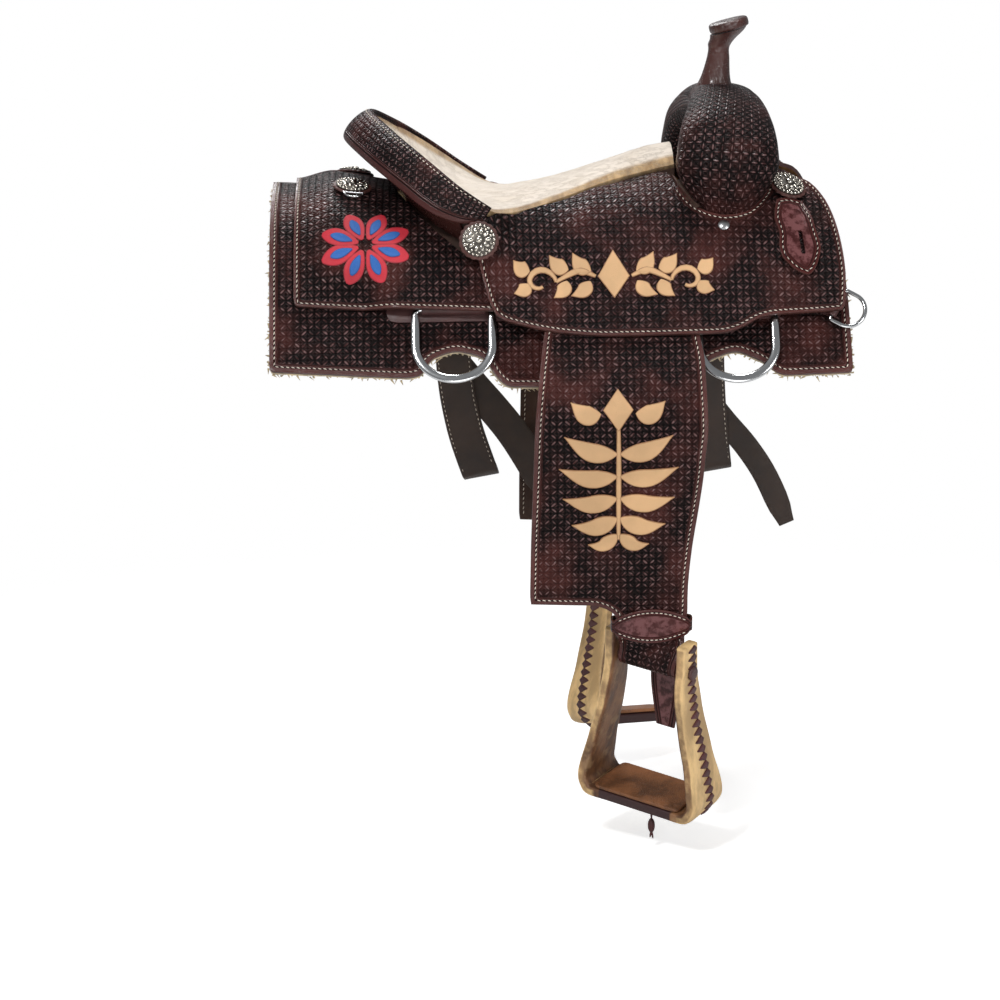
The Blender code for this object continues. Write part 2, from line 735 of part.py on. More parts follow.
def fork_rings(shrink, columns):
    """Sections of the fork, taken in all round by shrink."""
    rings = []
    count = len(fork_outer_run)
    order = [(i, -1.0) for i in range(count)] + [(i, 1.0) for i in range(count - 2, -1, -1)]
    for i, side in order:
        outer = Vector((0.0, fork_outer_run[i][0] * side, fork_outer_run[i][1]))
        inner = Vector((0.0, fork_inner_run[i][0] * side, fork_inner_run[i][1]))
        centre = (outer + inner) / 2
        radial = outer - inner
        half = radial.length / 2 - shrink
        radial.normalize()
        length = fork_half_length * fork_length_marks[i] - shrink
        ring = []
        for j in range(columns):
            angle = 2.0 * math.pi * j / columns
            c, s = math.cos(angle), math.sin(angle)
            power = 2.0 / fork_fullness
            along = math.copysign(abs(c) ** power, c) * length
            out = math.copysign(abs(s) ** power, s) * half
            top_tilt = -0.10 * along if i >= 5 else 0.0
            x = fork_x + fork_shift_marks[i] + along
            ring.append(Vector((x, 0.0, 0.0)) + centre + radial * (out + top_tilt))
        rings.append(ring)
    return rings


def flat_list(rows):
    return [point for row in rows for point in row]


def build_fork():
    columns = 16
    outer = fork_rings(0.0, columns)
    inner = fork_rings(fork_cover_thickness, columns)
    core = fork_rings(fork_cover_thickness + fork_gap, columns)
    count = len(outer) * columns
    faces = grid_faces(len(outer), columns, closed=True)
    faces += [tuple(reversed(f)) for f in grid_faces(len(outer), columns, count, closed=True)]
    for start in (0, (len(outer) - 1) * columns):
        for j in range(columns):
            k = (j + 1) % columns
            faces.append((start + j, start + k, count + start + k, count + start + j))
    cover = place("fork_cover", mesh_from("fork_cover", flat_list(outer) + flat_list(inner), faces),
                  (dark_leather, 0.42, 0.0))
    tree = place("tree_fork", mesh_from("tree_fork", flat_list(core), tube_faces(len(core), columns)),
                 (tree_cream, 0.60, 0.0))
    bore = horn_cylinder("horn_bore", horn_post_radius + seat_gap, 0.0, horn_post_length)
    cut(cover, bore)
    cut(tree, bore)
    under = lift_block("under_fork", bar_top_lift + seat_gap * 3, fork_x - 0.10, fork_x + 0.10)
    cut(cover, under)
    cut(tree, under)
    seat_room = seat_block("seat_room_fork")
    cut(cover, seat_room)
    cut(tree, seat_room)


def horn_axis():
    return Vector((math.sin(horn_tilt), 0.0, math.cos(horn_tilt)))


def horn_cylinder(name, radius, start, length):
    """Cutter or post along the horn's axis."""
    data = bpy.data.meshes.new(name)
    work = bmesh.new()
    bmesh.ops.create_cone(work, cap_ends=True, segments=24, radius1=radius, radius2=radius,
                          depth=length)
    base = Vector((horn_base_x, 0.0, horn_base_z))
    middle = base + horn_axis() * (start + length / 2)
    turn = Matrix.Rotation(horn_tilt, 4, "Y")
    bmesh.ops.transform(work, matrix=Matrix.Translation(middle) @ turn, verts=work.verts)
    work.to_mesh(data)
    work.free()
    return cutter_from(name, data)


def lift_block(name, lift, rear_x, front_x):
    """Cutter that fills everything under a lift over the skirts, from side to side."""
    columns = 15
    rows = 13
    points = []
    for i in range(rows):
        x = mix(rear_x, front_x, i / (rows - 1))
        lower = v_at(x, flat_top_y) + 0.060
        half = []
        for j in range(columns):
            v = mix(ridge_v(x), lower, j / (columns - 1))
            half.append(lay(x, v, lift))
        half[0].y = 0.0
        row = [mirror(p, -1.0) for p in reversed(half)] + half[1:]
        floor = min(p.z for p in row) - 0.060
        row.append(Vector((x, row[-1].y, floor)))
        row.append(Vector((x, row[0].y, floor)))
        points += row
    width = 2 * columns - 1 + 2
    return cutter_from(name, mesh_from(name, points, tube_faces(rows, width)))


def seat_block(name):
    """Cutter that fills everything over the front of the seat's underside."""
    low, rows, columns = seat_grid(seat_thickness, seat_gap)
    rows = 7
    low = low[:rows * columns]
    high = [Vector((p.x, p.y, 0.400)) for p in low]
    return cutter_from(name, mesh_from(name, low + high, shell_faces(rows, columns)))


def build_horn():
    post = horn_cylinder("horn_core", horn_post_radius, seat_gap, horn_post_length)
    post_data = post.data
    bpy.data.objects.remove(post)
    place("horn_core", post_data, (steel, 0.35, 1.0))
    sections = ((0.1800, 0.1600, 0.0190, 0.0190, 0.0), (0.1822, 0.1720, 0.0158, 0.0165, 2.0),
                (0.1845, 0.1880, 0.0132, 0.0145, 4.0), (0.1856, 0.2000, 0.0120, 0.0135, 6.0),
                (0.1885, 0.2080, 0.0155, 0.0165, 10.0), (0.1945, 0.2155, 0.0195, 0.0215, 14.0),
                (0.1965, 0.2203, 0.0215, 0.0250, 14.0))
    columns = 20
    points = []
    for x, z, rx, ry, tilt in sections:
        lean = math.radians(tilt)
        for j in range(columns):
            angle = 2.0 * math.pi * j / columns
            along = math.cos(angle) * rx
            points.append(Vector((x + along * math.cos(lean), math.sin(angle) * ry,
                                  z + along * math.sin(lean))))
    wrap = place("horn_wrap", mesh_from("horn_wrap", points, tube_faces(len(sections), columns)),
                 (horn_leather, 0.25, 0.0))
    cut(wrap, horn_cylinder("wrap_bore", horn_post_radius + seat_gap, 0.0, horn_post_length + 0.05))
    cut(wrap, cutter_from("fork_room_horn", fork_solid("fork_room_horn", -seat_gap)))
    cap_data = bpy.data.meshes.new("horn_cap")
    work = bmesh.new()
    bmesh.ops.create_cone(work, cap_ends=True, segments=24, radius1=0.5, radius2=0.5,
                          depth=horn_cap_thickness)
    bmesh.ops.scale(work, vec=(horn_cap_length, horn_cap_width, 1.0), verts=work.verts)
    work.to_mesh(cap_data)
    work.free()
    cap_data.shade_smooth()
    cap_data.set_sharp_from_angle(angle=math.radians(40.0))
    cap = place("horn_cap", cap_data, (horn_leather, 0.25, 0.0), (horn_cap_x, 0.0, horn_cap_z))
    cap.rotation_euler = (0.0, -horn_cap_tilt, 0.0)
    bevel = cap.modifiers.new("edge", "BEVEL")
    bevel.width = 0.0035
    bevel.segments = 2
    bevel.limit_method = "ANGLE"


def fork_solid(name, shrink):
    rings = fork_rings(shrink, 16)
    return mesh_from(name, flat_list(rings), tube_faces(len(rings), 16))


def build_seat():
    top, rows, columns = seat_grid(0.0)
    low, rows, columns = seat_grid(seat_thickness)
    seat = place("seat", mesh_from("seat", top + low, shell_faces(rows, columns)), (suede_tan, 0.9, 0.0))
    cut(seat, cutter_from("fork_room_saddle_seat", fork_solid("fork_room_saddle_seat", -seat_gap)))
    cut(seat, cutter_from("roll_room_seat", roll_mesh("roll_room_seat", seat_gap)))


# Cantle: rim and foot lines, and what stands between them

def cantle_foot_run(out):
    """Foot of the cantle's back on the bars, from the centre to the wing, moved out."""
    run = []
    for x, y in ((cantle_foot_x, 0.0), (-0.180, 0.050), (-0.165, 0.090), (-0.140, 0.122),
                 (-0.108, 0.146), (-0.086, 0.152)):
        away = Vector((x + 0.060, y)).normalized() * out
        run.append((x + away.x, y + away.y))
    return run


def cantle_foot(share):
    """Point of the cantle's foot line, from the right wing (0) over the centre to the left (1)."""
    half = [Vector((x, y)) for x, y in cantle_foot_run(0.0)]
    whole = [Vector((p.x, -p.y)) for p in reversed(half)] + half[1:]
    place_on = at_share(whole, share)
    x, y = place_on.x, abs(place_on.y)
    return Vector((x, place_on.y, lay(x, v_at(x, y), bar_top_lift).z))


def board_rim(point):
    """Rear edge of the cantle board, behind and below a point of the seat's rim."""
    wing = min(abs(point.y) / 0.150, 1.0)
    outward = math.copysign(wing, point.y)
    return point + Vector((-0.66, 0.42 * outward, -0.62)) * mix(0.0220, 0.0120, wing ** 2)


def cantle_top():
    """Underside of the seat over the cantle: points, rows, columns and rim shares."""
    low, rows, columns = seat_grid(seat_thickness, under_seat_gap)
    first = next(i for i in range(rows) if low[i * columns + columns // 2].x < -0.090)
    top = low[first * columns:]
    kept = rows - first
    grid = []
    for i in range(kept + 1):
        row = top[min(i, kept - 1) * columns:][:columns]
        if i == kept:
            row = [board_rim(p) for p in row]
        grid += [board_rim(row[0]) if i < kept else row[0]] + row
        grid += [board_rim(row[-1]) if i < kept else row[-1]]
    top = grid
    kept += 1
    columns += 2
    rim = [i * columns for i in range(kept)]
    rim += [(kept - 1) * columns + j for j in range(1, columns)]
    rim += [i * columns + columns - 1 for i in range(kept - 2, -1, -1)]
    lengths = [0.0]
    for a, b in zip(rim, rim[1:]):
        lengths.append(lengths[-1] + (top[b] - top[a]).length)
    shares = {k: length / lengths[-1] for k, length in zip(rim, lengths)}
    return top, kept, columns, rim, shares


def beyond_foot(rim_point, foot, floor):
    """Point where the line from the rim through the foot meets a level floor."""
    reach = (foot.z - floor) / (rim_point.z - foot.z)
    return foot + (foot - rim_point) * reach


def below_foot(rim_point, foot):
    """Point a little below the foot, in line with the rim."""
    return foot + (foot - rim_point) * 0.35


def build_cantle():
    top, rows, columns, rim, shares = cantle_top()
    floor = -0.060
    bottom = [None] * len(top)
    for k in rim:
        bottom[k] = beyond_foot(top[k], cantle_foot(shares[k]), floor)
    last = (rows - 1) * columns
    for i in range(rows):
        t = i / (rows - 1)
        start = bottom[i * columns]
        end = bottom[i * columns + columns - 1]
        for j in range(1, columns - 1):
            w = j / (columns - 1)
            line = start.lerp(end, w)
            back_bow = bottom[last + j] - bottom[last].lerp(bottom[last + columns - 1], w)
            if bottom[i * columns + j] is None:
                bottom[i * columns + j] = line + back_bow * t
    wall_steps = 4
    points = top + bottom
    faces = grid_faces(rows, columns)
    faces += [tuple(reversed(f)) for f in grid_faces(rows, columns, len(top))]
    loop = rim + [columns - 1 - j for j in range(1, columns - 1)]
    rings = [loop]
    for step in range(1, wall_steps):
        ring = []
        for n, k in enumerate(loop):
            if n < len(rim):
                low = below_foot(top[k], cantle_foot(shares[k]))
                wall_point = top[k].lerp(low, step / (wall_steps - 1))
            else:
                wall_point = top[k].lerp(bottom[k], step / wall_steps)
            ring.append(len(points))
            points.append(wall_point)
        rings.append(ring)
    rings.append([len(top) + k for k in loop])
    for upper, lower in zip(rings, rings[1:]):
        for n in range(len(loop)):
            m = (n + 1) % len(loop)
            faces.append((upper[n], upper[m], lower[m], lower[n]))
    data = mesh_from("tree_cantle", points, faces)
    cantle = place("tree_cantle", data, (tree_cream, 0.60, 0.0))
    cut(cantle, lift_block("under_cantle", bar_top_lift + seat_gap * 3, -0.260, -0.040))
    cut(cantle, cutter_from("roll_room_cantle", roll_mesh("roll_room_cantle", seat_gap)))
    rim = [k for n, k in enumerate(rim) if n == 0 or (top[k] - top[rim[n - 1]]).length > 0.0005]
    rim = rim[1:-1]
    count = len(rim)
    outer = []
    inner = []
    steps = 4
    for step in range(steps):
        t = step / (steps - 1)
        for n, k in enumerate(rim):
            before = rim[max(n - 1, 0)]
            after = rim[min(n + 1, count - 1)]
            foot = cantle_foot(shares[k])
            low = below_foot(top[k], foot)
            along = (top[after] + cantle_foot(shares[after])
                     - top[before] - cantle_foot(shares[before]))
            out = (top[k] - foot).cross(along).normalized()
            point = top[k].lerp(low, t)
            outer.append(point + out * (curve_gap + cantle_back_thickness))
            inner.append(point + out * curve_gap)
    back = place("cantle_back", mesh_from("cantle_back", outer + inner, shell_faces(steps, count)),
                 (dark_leather, 0.42, 0.0))
    cut(back, lift_block("under_cantle_back", bar_top_lift + seat_gap * 3, -0.260, -0.040))
    cut(back, cutter_from("roll_room_back", roll_mesh("roll_room_back", seat_gap)))


def build_ground_seat():
    low, rows, columns = seat_grid(seat_thickness, under_seat_gap)
    kept = 1 + max(i for i in range(rows) if low[i * columns + columns // 2].x > -0.0897)
    top = low[:kept * columns]
    bottom = [Vector((p.x, p.y * 0.97, -0.060)) for p in top]
    ground = place("ground_seat", mesh_from("ground_seat", top + bottom, shell_faces(kept, columns)),
                   (flesh_tan, 0.7, 0.0))
    cut(ground, lift_block("under_ground_seat", bar_top_lift + seat_gap * 3, -0.200, 0.200))
    cut(ground, cutter_from("fork_room_seat", fork_solid("fork_room_seat", -seat_gap)))


def roll_mesh(name, grow):
    """Roll round the cantle's rim, grown all round by a clearance."""
    borders = through(seat_border_run, seat_rows_per_span)
    wing = [Vector((-0.0830, 0.1600, 0.0370))] + [p for p in borders if p.x < -0.100]
    half = [mirror(p, -1.0) for p in wing]
    rim = half + [Vector((cantle_rear_x + 0.0045, 0.0, cantle_top_z - 0.0035))]
    rim += [mirror(p, -1.0) for p in reversed(half)]
    run = spaced(rim, 25)
    columns = 10
    rings = []
    last = len(run) - 1
    for i, point in enumerate(run):
        tangent = (run[min(i + 1, last)] - run[max(i - 1, 0)]).normalized()
        wing_share = 2.0 * i / last - 1.0
        down = Vector((-0.66, 0.42 * wing_share, -0.62))
        down = (down - tangent * down.dot(tangent)).normalized()
        out = down.cross(tangent).normalized()
        if out.z < 0.0:
            out = -out
        end = min(i, last - i)
        size = (0.50, 0.78, 0.94, 1.0)[min(end, 3)]
        half_width = roll_width / 2 * size + grow
        half_thick = roll_thickness / 2 * size + grow
        centre = point + down * (roll_width / 2 * size - 0.0025) + out * 0.0030
        if end == 0:
            centre += tangent * (grow if i else -grow)
        ring = []
        for j in range(columns):
            angle = 2.0 * math.pi * j / columns
            ring.append(centre + down * math.cos(angle) * half_width
                        + out * math.sin(angle) * half_thick)
        rings.append(ring)
    return mesh_from(name, flat_list(rings), tube_faces(len(rings), columns))


def build_roll():
    place("cantle_roll", roll_mesh("cantle_roll", 0.0), (dark_leather, 0.40, 0.0))


def flat_outline(name, runs, thickness, finish, frame):
    """A flat plate from closed outlines, the first outside and the others holes."""
    data = bpy.data.curves.new(name, "CURVE")
    data.dimensions = "2D"
    data.fill_mode = "BOTH"
    data.extrude = thickness / 2
    for run in runs:
        spline = data.splines.new("POLY")
        spline.points.add(len(run) - 1)
        for point, (x, y) in zip(spline.points, run):
            point.co = (x, y, 0.0, 1.0)
        spline.use_cyclic_u = True
    piece = place(name, data, finish)
    piece.matrix_world = frame
    return piece


def dee_outline(width, drop, bar, inset, steps):
    """Dee: a straight bar above, straight legs and a round bottom, taken in by inset."""
    half = width / 2 - inset
    top = -bar / 2 + (bar if inset else 0.0)
    low = drop - inset
    centre = low - half * 0.92
    run = [(half, top)]
    for step in range(steps + 1):
        angle = math.pi * step / steps
        run.append((math.cos(angle) * half, centre + math.sin(angle) * half * 0.92))
    run.append((-half, top))
    return run


def build_dees():
    for name, side in sides.items():
        for end, x, v in (("rear", rear_dee_x, rear_dee_v), ("front", front_dee_x, front_dee_v)):
            runs = [dee_outline(dee_width, dee_drop, dee_bar, 0.0, 18),
                    dee_outline(dee_width, dee_drop, dee_bar, dee_wire, 18)]
            flat_outline("dee_" + end + "_" + name, runs, dee_thickness, (steel, 0.12, 1.0),
                         side_frame(side, x, v, level(dee_lift)))


def prism(name, run, low, high):
    """Mesh of a flat outline raised from one height to another."""
    count = len(run)
    points = [(x, y, low) for x, y in run] + [(x, y, high) for x, y in run]
    faces = [tuple(range(count - 1, -1, -1)), tuple(range(count, 2 * count))]
    for j in range(count):
        k = (j + 1) % count
        faces.append((j, k, count + k, count + j))
    return mesh_from(name, points, faces)


def band_mesh(name, radius, thickness, half_width, steps):
    """Band round the local X axis."""
    points = []
    for step in range(steps):
        angle = 2.0 * math.pi * (step + 0.5) / steps
        for reach, x in ((0.0, -half_width), (0.0, half_width), (thickness, half_width),
                         (thickness, -half_width)):
            out = radius + reach
            points.append((x, math.cos(angle) * out, math.sin(angle) * out))
    return mesh_from(name, points, tube_faces(steps, 4, True))


def round_corners(points, radius, steps=3):
    """Closed outline with its corners rounded."""
    count = len(points)
    run = []
    for i in range(count):
        run += rounded([points[i - 1], points[i], points[(i + 1) % count]], radius, steps)[1:-1]
    return [(p.x, p.y) for p in run]


def tab(name, frame, plate, low, thickness, bore, half_width, finish):
    """Leather tab: a plate with a band round the dee's bar, the bar on the frame's X axis."""
    piece = place(name, prism(name, plate, low - 0.0001, low + thickness - 0.0002), finish)
    piece.matrix_world = frame
    band = cutter_from(name + "_band", band_mesh(name + "_band", bore, thickness, half_width, 16))
    band.matrix_world = frame
    cut(piece, band, "UNION")
    return piece


def build_rigging_tabs():
    rear = round_corners([(-0.074, -tab_rise), (0.074, -tab_rise), (0.074, 0.0130), (-0.074, 0.0130)],
                         0.012)
    front = round_corners([(-0.052, -tab_rise), (0.052, -tab_rise), (0.052, 0.0100), (-0.052, 0.0100)],
                          0.010)
    for name, side in sides.items():
        for end, x, v, plate in (("rear", rear_dee_x, rear_dee_v, rear),
                                 ("front", front_dee_x, front_dee_v, front)):
            tab("rigging_tab_" + end + "_" + name, side_frame(side, x, v, level(dee_lift)), plate,
                -tab_radius, tab_thickness, dee_bore, tab_loop_width / 2, (dark_leather, 0.45, 0.0))


def build_breast_dees():
    half = breast_dee_width / 2 - breast_dee_wire - slide_gap - 0.0010
    plate = round_corners([(-half, -0.026), (half, -0.026), (half, 0.0030), (-half, 0.0030)], 0.004)
    for name, side in sides.items():
        frame = side_frame(side, breast_dee_x, breast_dee_v, level(breast_lift), turn=breast_dee_turn)
        runs = [dee_outline(breast_dee_width, breast_dee_drop, breast_dee_wire, 0.0, 12),
                dee_outline(breast_dee_width, breast_dee_drop, breast_dee_wire, breast_dee_wire, 12)]
        flat_outline("breast_dee_" + name, runs, breast_dee_wire * 0.9, (steel, 0.12, 1.0), frame)
        tab("breast_tab_" + name, frame, plate, -breast_tab_radius, breast_tab_thickness,
            breast_bore, half, (dark_leather, 0.45, 0.0))


def turned(name, profile, finish, frame, steps=16):
    """Turned piece: its profile runs down the outer side, from the top to the bottom."""
    data = bpy.data.meshes.new(name)
    data.from_pydata([(r, 0.0, z) for r, z in profile], [(i, i + 1) for i in range(len(profile) - 1)], [])
    piece = place(name, data, finish)
    piece.matrix_world = frame
    screw = piece.modifiers.new("turn", "SCREW")
    screw.axis = "Z"
    screw.steps = steps
    screw.render_steps = steps
    screw.use_merge_vertices = True
    screw.merge_threshold = 0.00001
    return piece


def concho_profile(gap):
    """Domed concho on its rosette, with a screw post that reaches over the gap below it."""
    top = rosette_thickness + concho_height
    return ((0.0, top), (concho_radius * 0.25, top),
            (concho_radius * 0.60, top - concho_height * 0.20),
            (concho_radius * 0.88, top - concho_height * 0.58),
            (concho_radius, top - concho_height * 0.78), (concho_radius, rosette_thickness),
            (rosette_radius, rosette_thickness), (rosette_radius, 0.0), (concho_post_radius, 0.0),
            (concho_post_radius, seat_gap - gap), (0.0, seat_gap - gap))


def rear_jockey_outer(x, v):
    return rear_jockey_inner(x, v) + rear_jockey_thickness


string_bore = string_dee_wire * 0.71 + pin_gap
string_tab_radius = string_bore + string_tab_thickness
string_reach = rosette_radius + 0.0015


def build_conchos():
    for name, side in sides.items():
        rear = side_frame(side, -0.2385, -0.1350, rear_jockey_outer, concho_gap)
        piece = turned("concho_rear_" + name, concho_profile(concho_gap), (silver, 0.30, 1.0), rear)
        hold = rear @ Matrix.Translation((0.0, string_reach, string_tab_radius + 0.0002))
        band = band_mesh("string_band_" + name, string_bore, string_tab_thickness, 0.0070, 12)
        band_cutter = cutter_from("string_band_" + name, band)
        band_cutter.matrix_world = hold
        cut(piece, band_cutter, "UNION")
        runs = [dee_outline(string_dee_width, string_dee_drop, string_dee_wire, 0.0, 10),
                dee_outline(string_dee_width, string_dee_drop, string_dee_wire, string_dee_wire, 10)]
        flat_outline("string_dee_" + name, runs, string_dee_wire, (steel, 0.15, 1.0), hold)
        turned("concho_side_" + name, concho_profile(side_concho_gap), (silver, 0.30, 1.0),
               side_frame(side, -0.0965, -0.0290, seat_jockey_outer, side_concho_gap))
        turned("concho_front_" + name, concho_profile(front_concho_gap), (silver, 0.30, 1.0),
               side_frame(side, 0.2530, -0.1080, seat_jockey_outer, front_concho_gap, 0.0, 0.016))
        turned("jockey_screw_" + name,
               ((0.0, screw_height), (screw_radius * 0.5, screw_height * 0.9),
                (screw_radius, screw_height * 0.35), (screw_radius, 0.0), (0.0, 0.0)),
               (steel, 0.25, 1.0), side_frame(side, 0.1770, -0.0505, seat_jockey_outer, seat_gap), 16)


def build_keepers():
    top = rounded([(0.2380, -0.0780), (0.2560, -0.0815), (0.2730, -0.0780)], 0.004, 2)
    low = rounded([(0.2460, -0.0060), (0.2550, 0.0030), (0.2640, 0.0045), (0.2740, 0.0010),
                   (0.2800, -0.0080)], 0.006, 2)
    rear = rounded([(0.2380, -0.0780), (0.2345, -0.0620), (0.2385, -0.0430), (0.2380, -0.0255),
                    (0.2460, -0.0060)], 0.008, 2)
    front = rounded([(0.2730, -0.0780), (0.2785, -0.0650), (0.2815, -0.0470), (0.2850, -0.0270),
                     (0.2800, -0.0080)], 0.008, 2)
    for name, side in sides.items():
        columns, rows = 7, 12
        pattern = patch(top, low, rear, front, columns, even(rows))
        keeper = leather("latigo_keeper_" + name, side, pattern, columns, rows,
                         lambda x, v: seat_jockey_outer(x, v) + 0.0006,
                         lambda x, v: seat_jockey_outer(x, v) + 0.0006 + keeper_thickness,
                         (dark_leather, 0.42, 0.0))
        slot = [(-keeper_slot_width / 2, -keeper_slot_length / 2),
                (keeper_slot_width / 2, -keeper_slot_length / 2),
                (keeper_slot_width / 2, keeper_slot_length / 2),
                (-keeper_slot_width / 2, keeper_slot_length / 2)]
        slot_name = "keeper_slot_" + name
        cutter = cutter_from(slot_name, prism(slot_name, slot, -0.010, 0.010))
        cutter.matrix_world = side_frame(side, 0.2615, -0.0300, seat_jockey_outer, 0.0020,
                                         math.radians(-8.0))
        cut(keeper, cutter)


def pivot_point(side):
    return mirror(lay(pivot_x, pivot_v, fender_lift + fender_thickness / 2), side)


def build_fenders():
    top = rounded([(-0.022, 0.044), (-0.014, 0.030), (0.000, 0.028), (0.048, 0.028),
                   (0.056, 0.008), (0.066, -0.008), (0.088, -0.015), (0.110, -0.008),
                   (0.120, 0.008), (0.127, 0.028), (0.138, 0.031), (0.1425, 0.042)], 0.008, 2)
    low = rounded([(-0.0456, 0.385), (-0.001, 0.387), (0.027, 0.388), (0.040, 0.393),
                   (0.0490, 0.400), (0.0530, 0.4115), (0.1265, 0.4115), (0.130, 0.399)], 0.006, 2)
    rear = rounded([(-0.022, 0.044), (-0.027, 0.066), (-0.034, 0.121), (-0.040, 0.178),
                    (-0.042, 0.233), (-0.045, 0.306), (-0.0467, 0.377), (-0.0456, 0.385)], 0.02, 2)
    front = rounded([(0.1425, 0.042), (0.145, 0.074), (0.149, 0.094), (0.150, 0.140),
                     (0.151, 0.182), (0.148, 0.203), (0.146, 0.232), (0.141, 0.271),
                     (0.134, 0.317), (0.130, 0.365), (0.130, 0.399)], 0.02, 2)
    columns = 15
    shares = [0.0, 0.05, 0.12, 0.19, 0.25, 0.31, 0.37, 0.43, 0.50, 0.62, 0.75, 0.86, 0.94, 1.0]
    rows = len(shares)
    for name, side in sides.items():
        pattern = patch(top, low, rear, front, columns, shares)
        points = []
        for offset in (fender_thickness / 2, -fender_thickness / 2):
            for p in pattern:
                y, z, _ = fender_point(p.y, offset)
                points.append((p.x, y * side, z))
        origin = pivot_point(side)
        data = mesh_from("fender_" + name, points, shell_faces(rows, columns), origin)
        place("fender_" + name, data, (dark_leather, 0.42, 0.0), origin)


# Stirrup leather's neck: two plies that turn together above the bolt

ply_step = leather_thickness + seat_gap
front_ply = -(fender_thickness / 2 + seat_gap * 2 + leather_thickness / 2)
back_ply = front_ply - ply_step
neck_offset = (front_ply + back_ply) / 2
loop_radius = spacer_radius + seat_gap + leather_thickness / 2


def neck_frame(length):
    """Middle of the neck and its width, outward and down directions, in outward points."""
    y, z, slope = fender_point(length, neck_offset)
    down = Vector((0.0, math.cos(slope), -math.sin(slope)))
    out = Vector((0.0, math.sin(slope), math.cos(slope)))
    along = Vector((1.0, 0.0, 0.0))
    turn = neck_turn * smooth((length - neck_turn_start) / (neck_turn_end - neck_turn_start))
    across = along * math.cos(turn) + out * math.sin(turn)
    facing = out * math.cos(turn) - along * math.sin(turn)
    return Vector((leather_x, y, z)), across, facing, down


def neck_run(path, widths, half_thickness, shift=0.0):
    """Frames of a strap whose path is given by offset from the fender and length."""
    frames = []
    last = len(path) - 1
    for i, (offset, length) in enumerate(path):
        before = path[max(i - 1, 0)]
        after = path[min(i + 1, last)]
        tangent = Vector((after[0] - before[0], after[1] - before[1])).normalized()
        centre, across, facing, down = neck_frame(length)
        through_way = facing * tangent.y - down * tangent.x
        moved = shift * i / last
        frames.append((centre + facing * (offset - neck_offset) + across * moved,
                       across * widths[min(i, len(widths) - 1)], through_way * half_thickness))
    return frames


def leather_path():
    path = [(front_ply, leather_top), (front_ply, 0.060), (front_ply, fender_flat_end)]
    path += [(mix(front_ply, back_ply, smooth((l - 0.108) / 0.110)), l)
             for l in (0.134, 0.146, 0.158, 0.170, 0.182, 0.194, 0.206, 0.218, 0.236)]
    path += [(back_ply, l) for l in (0.340, 0.400, 0.424, 0.430, 0.436, 0.442)]
    for degrees in range(205, -26, -23):
        angle = math.radians(degrees)
        path.append((neck_offset + loop_radius * math.cos(angle),
                     bolt_place + loop_radius * math.sin(angle)))
    path += [(front_ply, l) for l in (0.442, 0.436, 0.430, 0.424, 0.396)]
    return path


def build_leathers():
    for name, side in sides.items():
        path = leather_path()
        lowest = max(range(len(path)), key=lambda i: path[i][1])
        frames = neck_run(path, [leather_width / 2], leather_thickness / 2)
        ribbon("stirrup_leather_" + name, side, frames, (dark_leather, 0.5, 0.0), pivot_point(side),
               turned_at=lowest)


def ring_run(half_width, front, back, corner, height_at, length):
    """Closed band of frames round the neck: across it, down it and through its leather."""
    corners = [(-half_width, front), (half_width, front), (half_width, back), (-half_width, back)]
    run = round_corners(corners, corner, 3)
    fill = []
    for a, b in zip(run, run[1:] + run[:1]):
        fill.append(a)
        if math.hypot(b[0] - a[0], b[1] - a[1]) > 0.03:
            fill += [(mix(a[0], b[0], k / 6), mix(a[1], b[1], k / 6)) for k in range(1, 6)]
    frames = []
    centre, across, facing, down = neck_frame(length)
    count = len(fill)
    for i, (a, offset) in enumerate(fill):
        before = fill[i - 1]
        after = fill[(i + 1) % count]
        tangent = Vector((after[0] - before[0], after[1] - before[1])).normalized()
        through_way = facing * tangent.x - across * tangent.y
        point = centre + across * a + facing * (offset - neck_offset)
        frames.append((point, down * height_at(a, offset), through_way))
    return frames


def build_hobbles():
    front = fender_thickness / 2 + seat_gap + hobble_thickness / 2
    back = back_ply - leather_thickness / 2 - seat_gap - hobble_thickness / 2
    reach = hobble_width / 2

    def height_at(a, offset):
        if offset < front - 0.0005:
            return hobble_end_height / 2
        return mix(hobble_end_height, hobble_height, 1.0 - (a / reach) ** 2) / 2

    for name, side in sides.items():
        frames = ring_run(reach - hobble_thickness / 2, front, back, 0.006, height_at, hobble_middle)
        frames = [(p, down, t * hobble_thickness / 2) for p, down, t in frames]
        origin = pivot_point(side)
        hobble = ribbon("hobble_strap_" + name, side, frames, (dark_leather, 0.42, 0.0), origin, True)
        tail_start = hobble_middle - 0.006
        rest = back - 0.0016
        path = [(rest, tail_start), (rest - 0.0004, tail_start + 0.010),
                (rest - 0.0030, tail_start + 0.018), (rest - 0.0055, tail_start + 0.026),
                (rest - 0.0080, tail_start + 0.034), (rest - 0.0100, tail_start + 0.042),
                (rest - 0.0110, tail_start + 0.050), (rest - 0.0110, tail_start + 0.070),
                (rest - 0.0090, tail_start + 0.095), (rest - 0.0070, tail_start + tail_length)]
        tail_name = "hobble_tail_" + name
        tail_frames = neck_run(path, [tail_width / 2 * k for k in (1, 1, 1, 1, 1, 1, 1, 1, 0.95, 0.6)],
                               hobble_thickness / 2, 0.012)
        points = []
        for centre, across, through_way in tail_frames:
            for a, b in ((-1, -1), (1, -1), (1, 1), (-1, 1)):
                points.append(mirror(centre + across * a + through_way * b, side))
        tail = mesh_from(tail_name, points, strap_faces(len(tail_frames)))
        cut(hobble, cutter_from(tail_name, tail), "UNION")


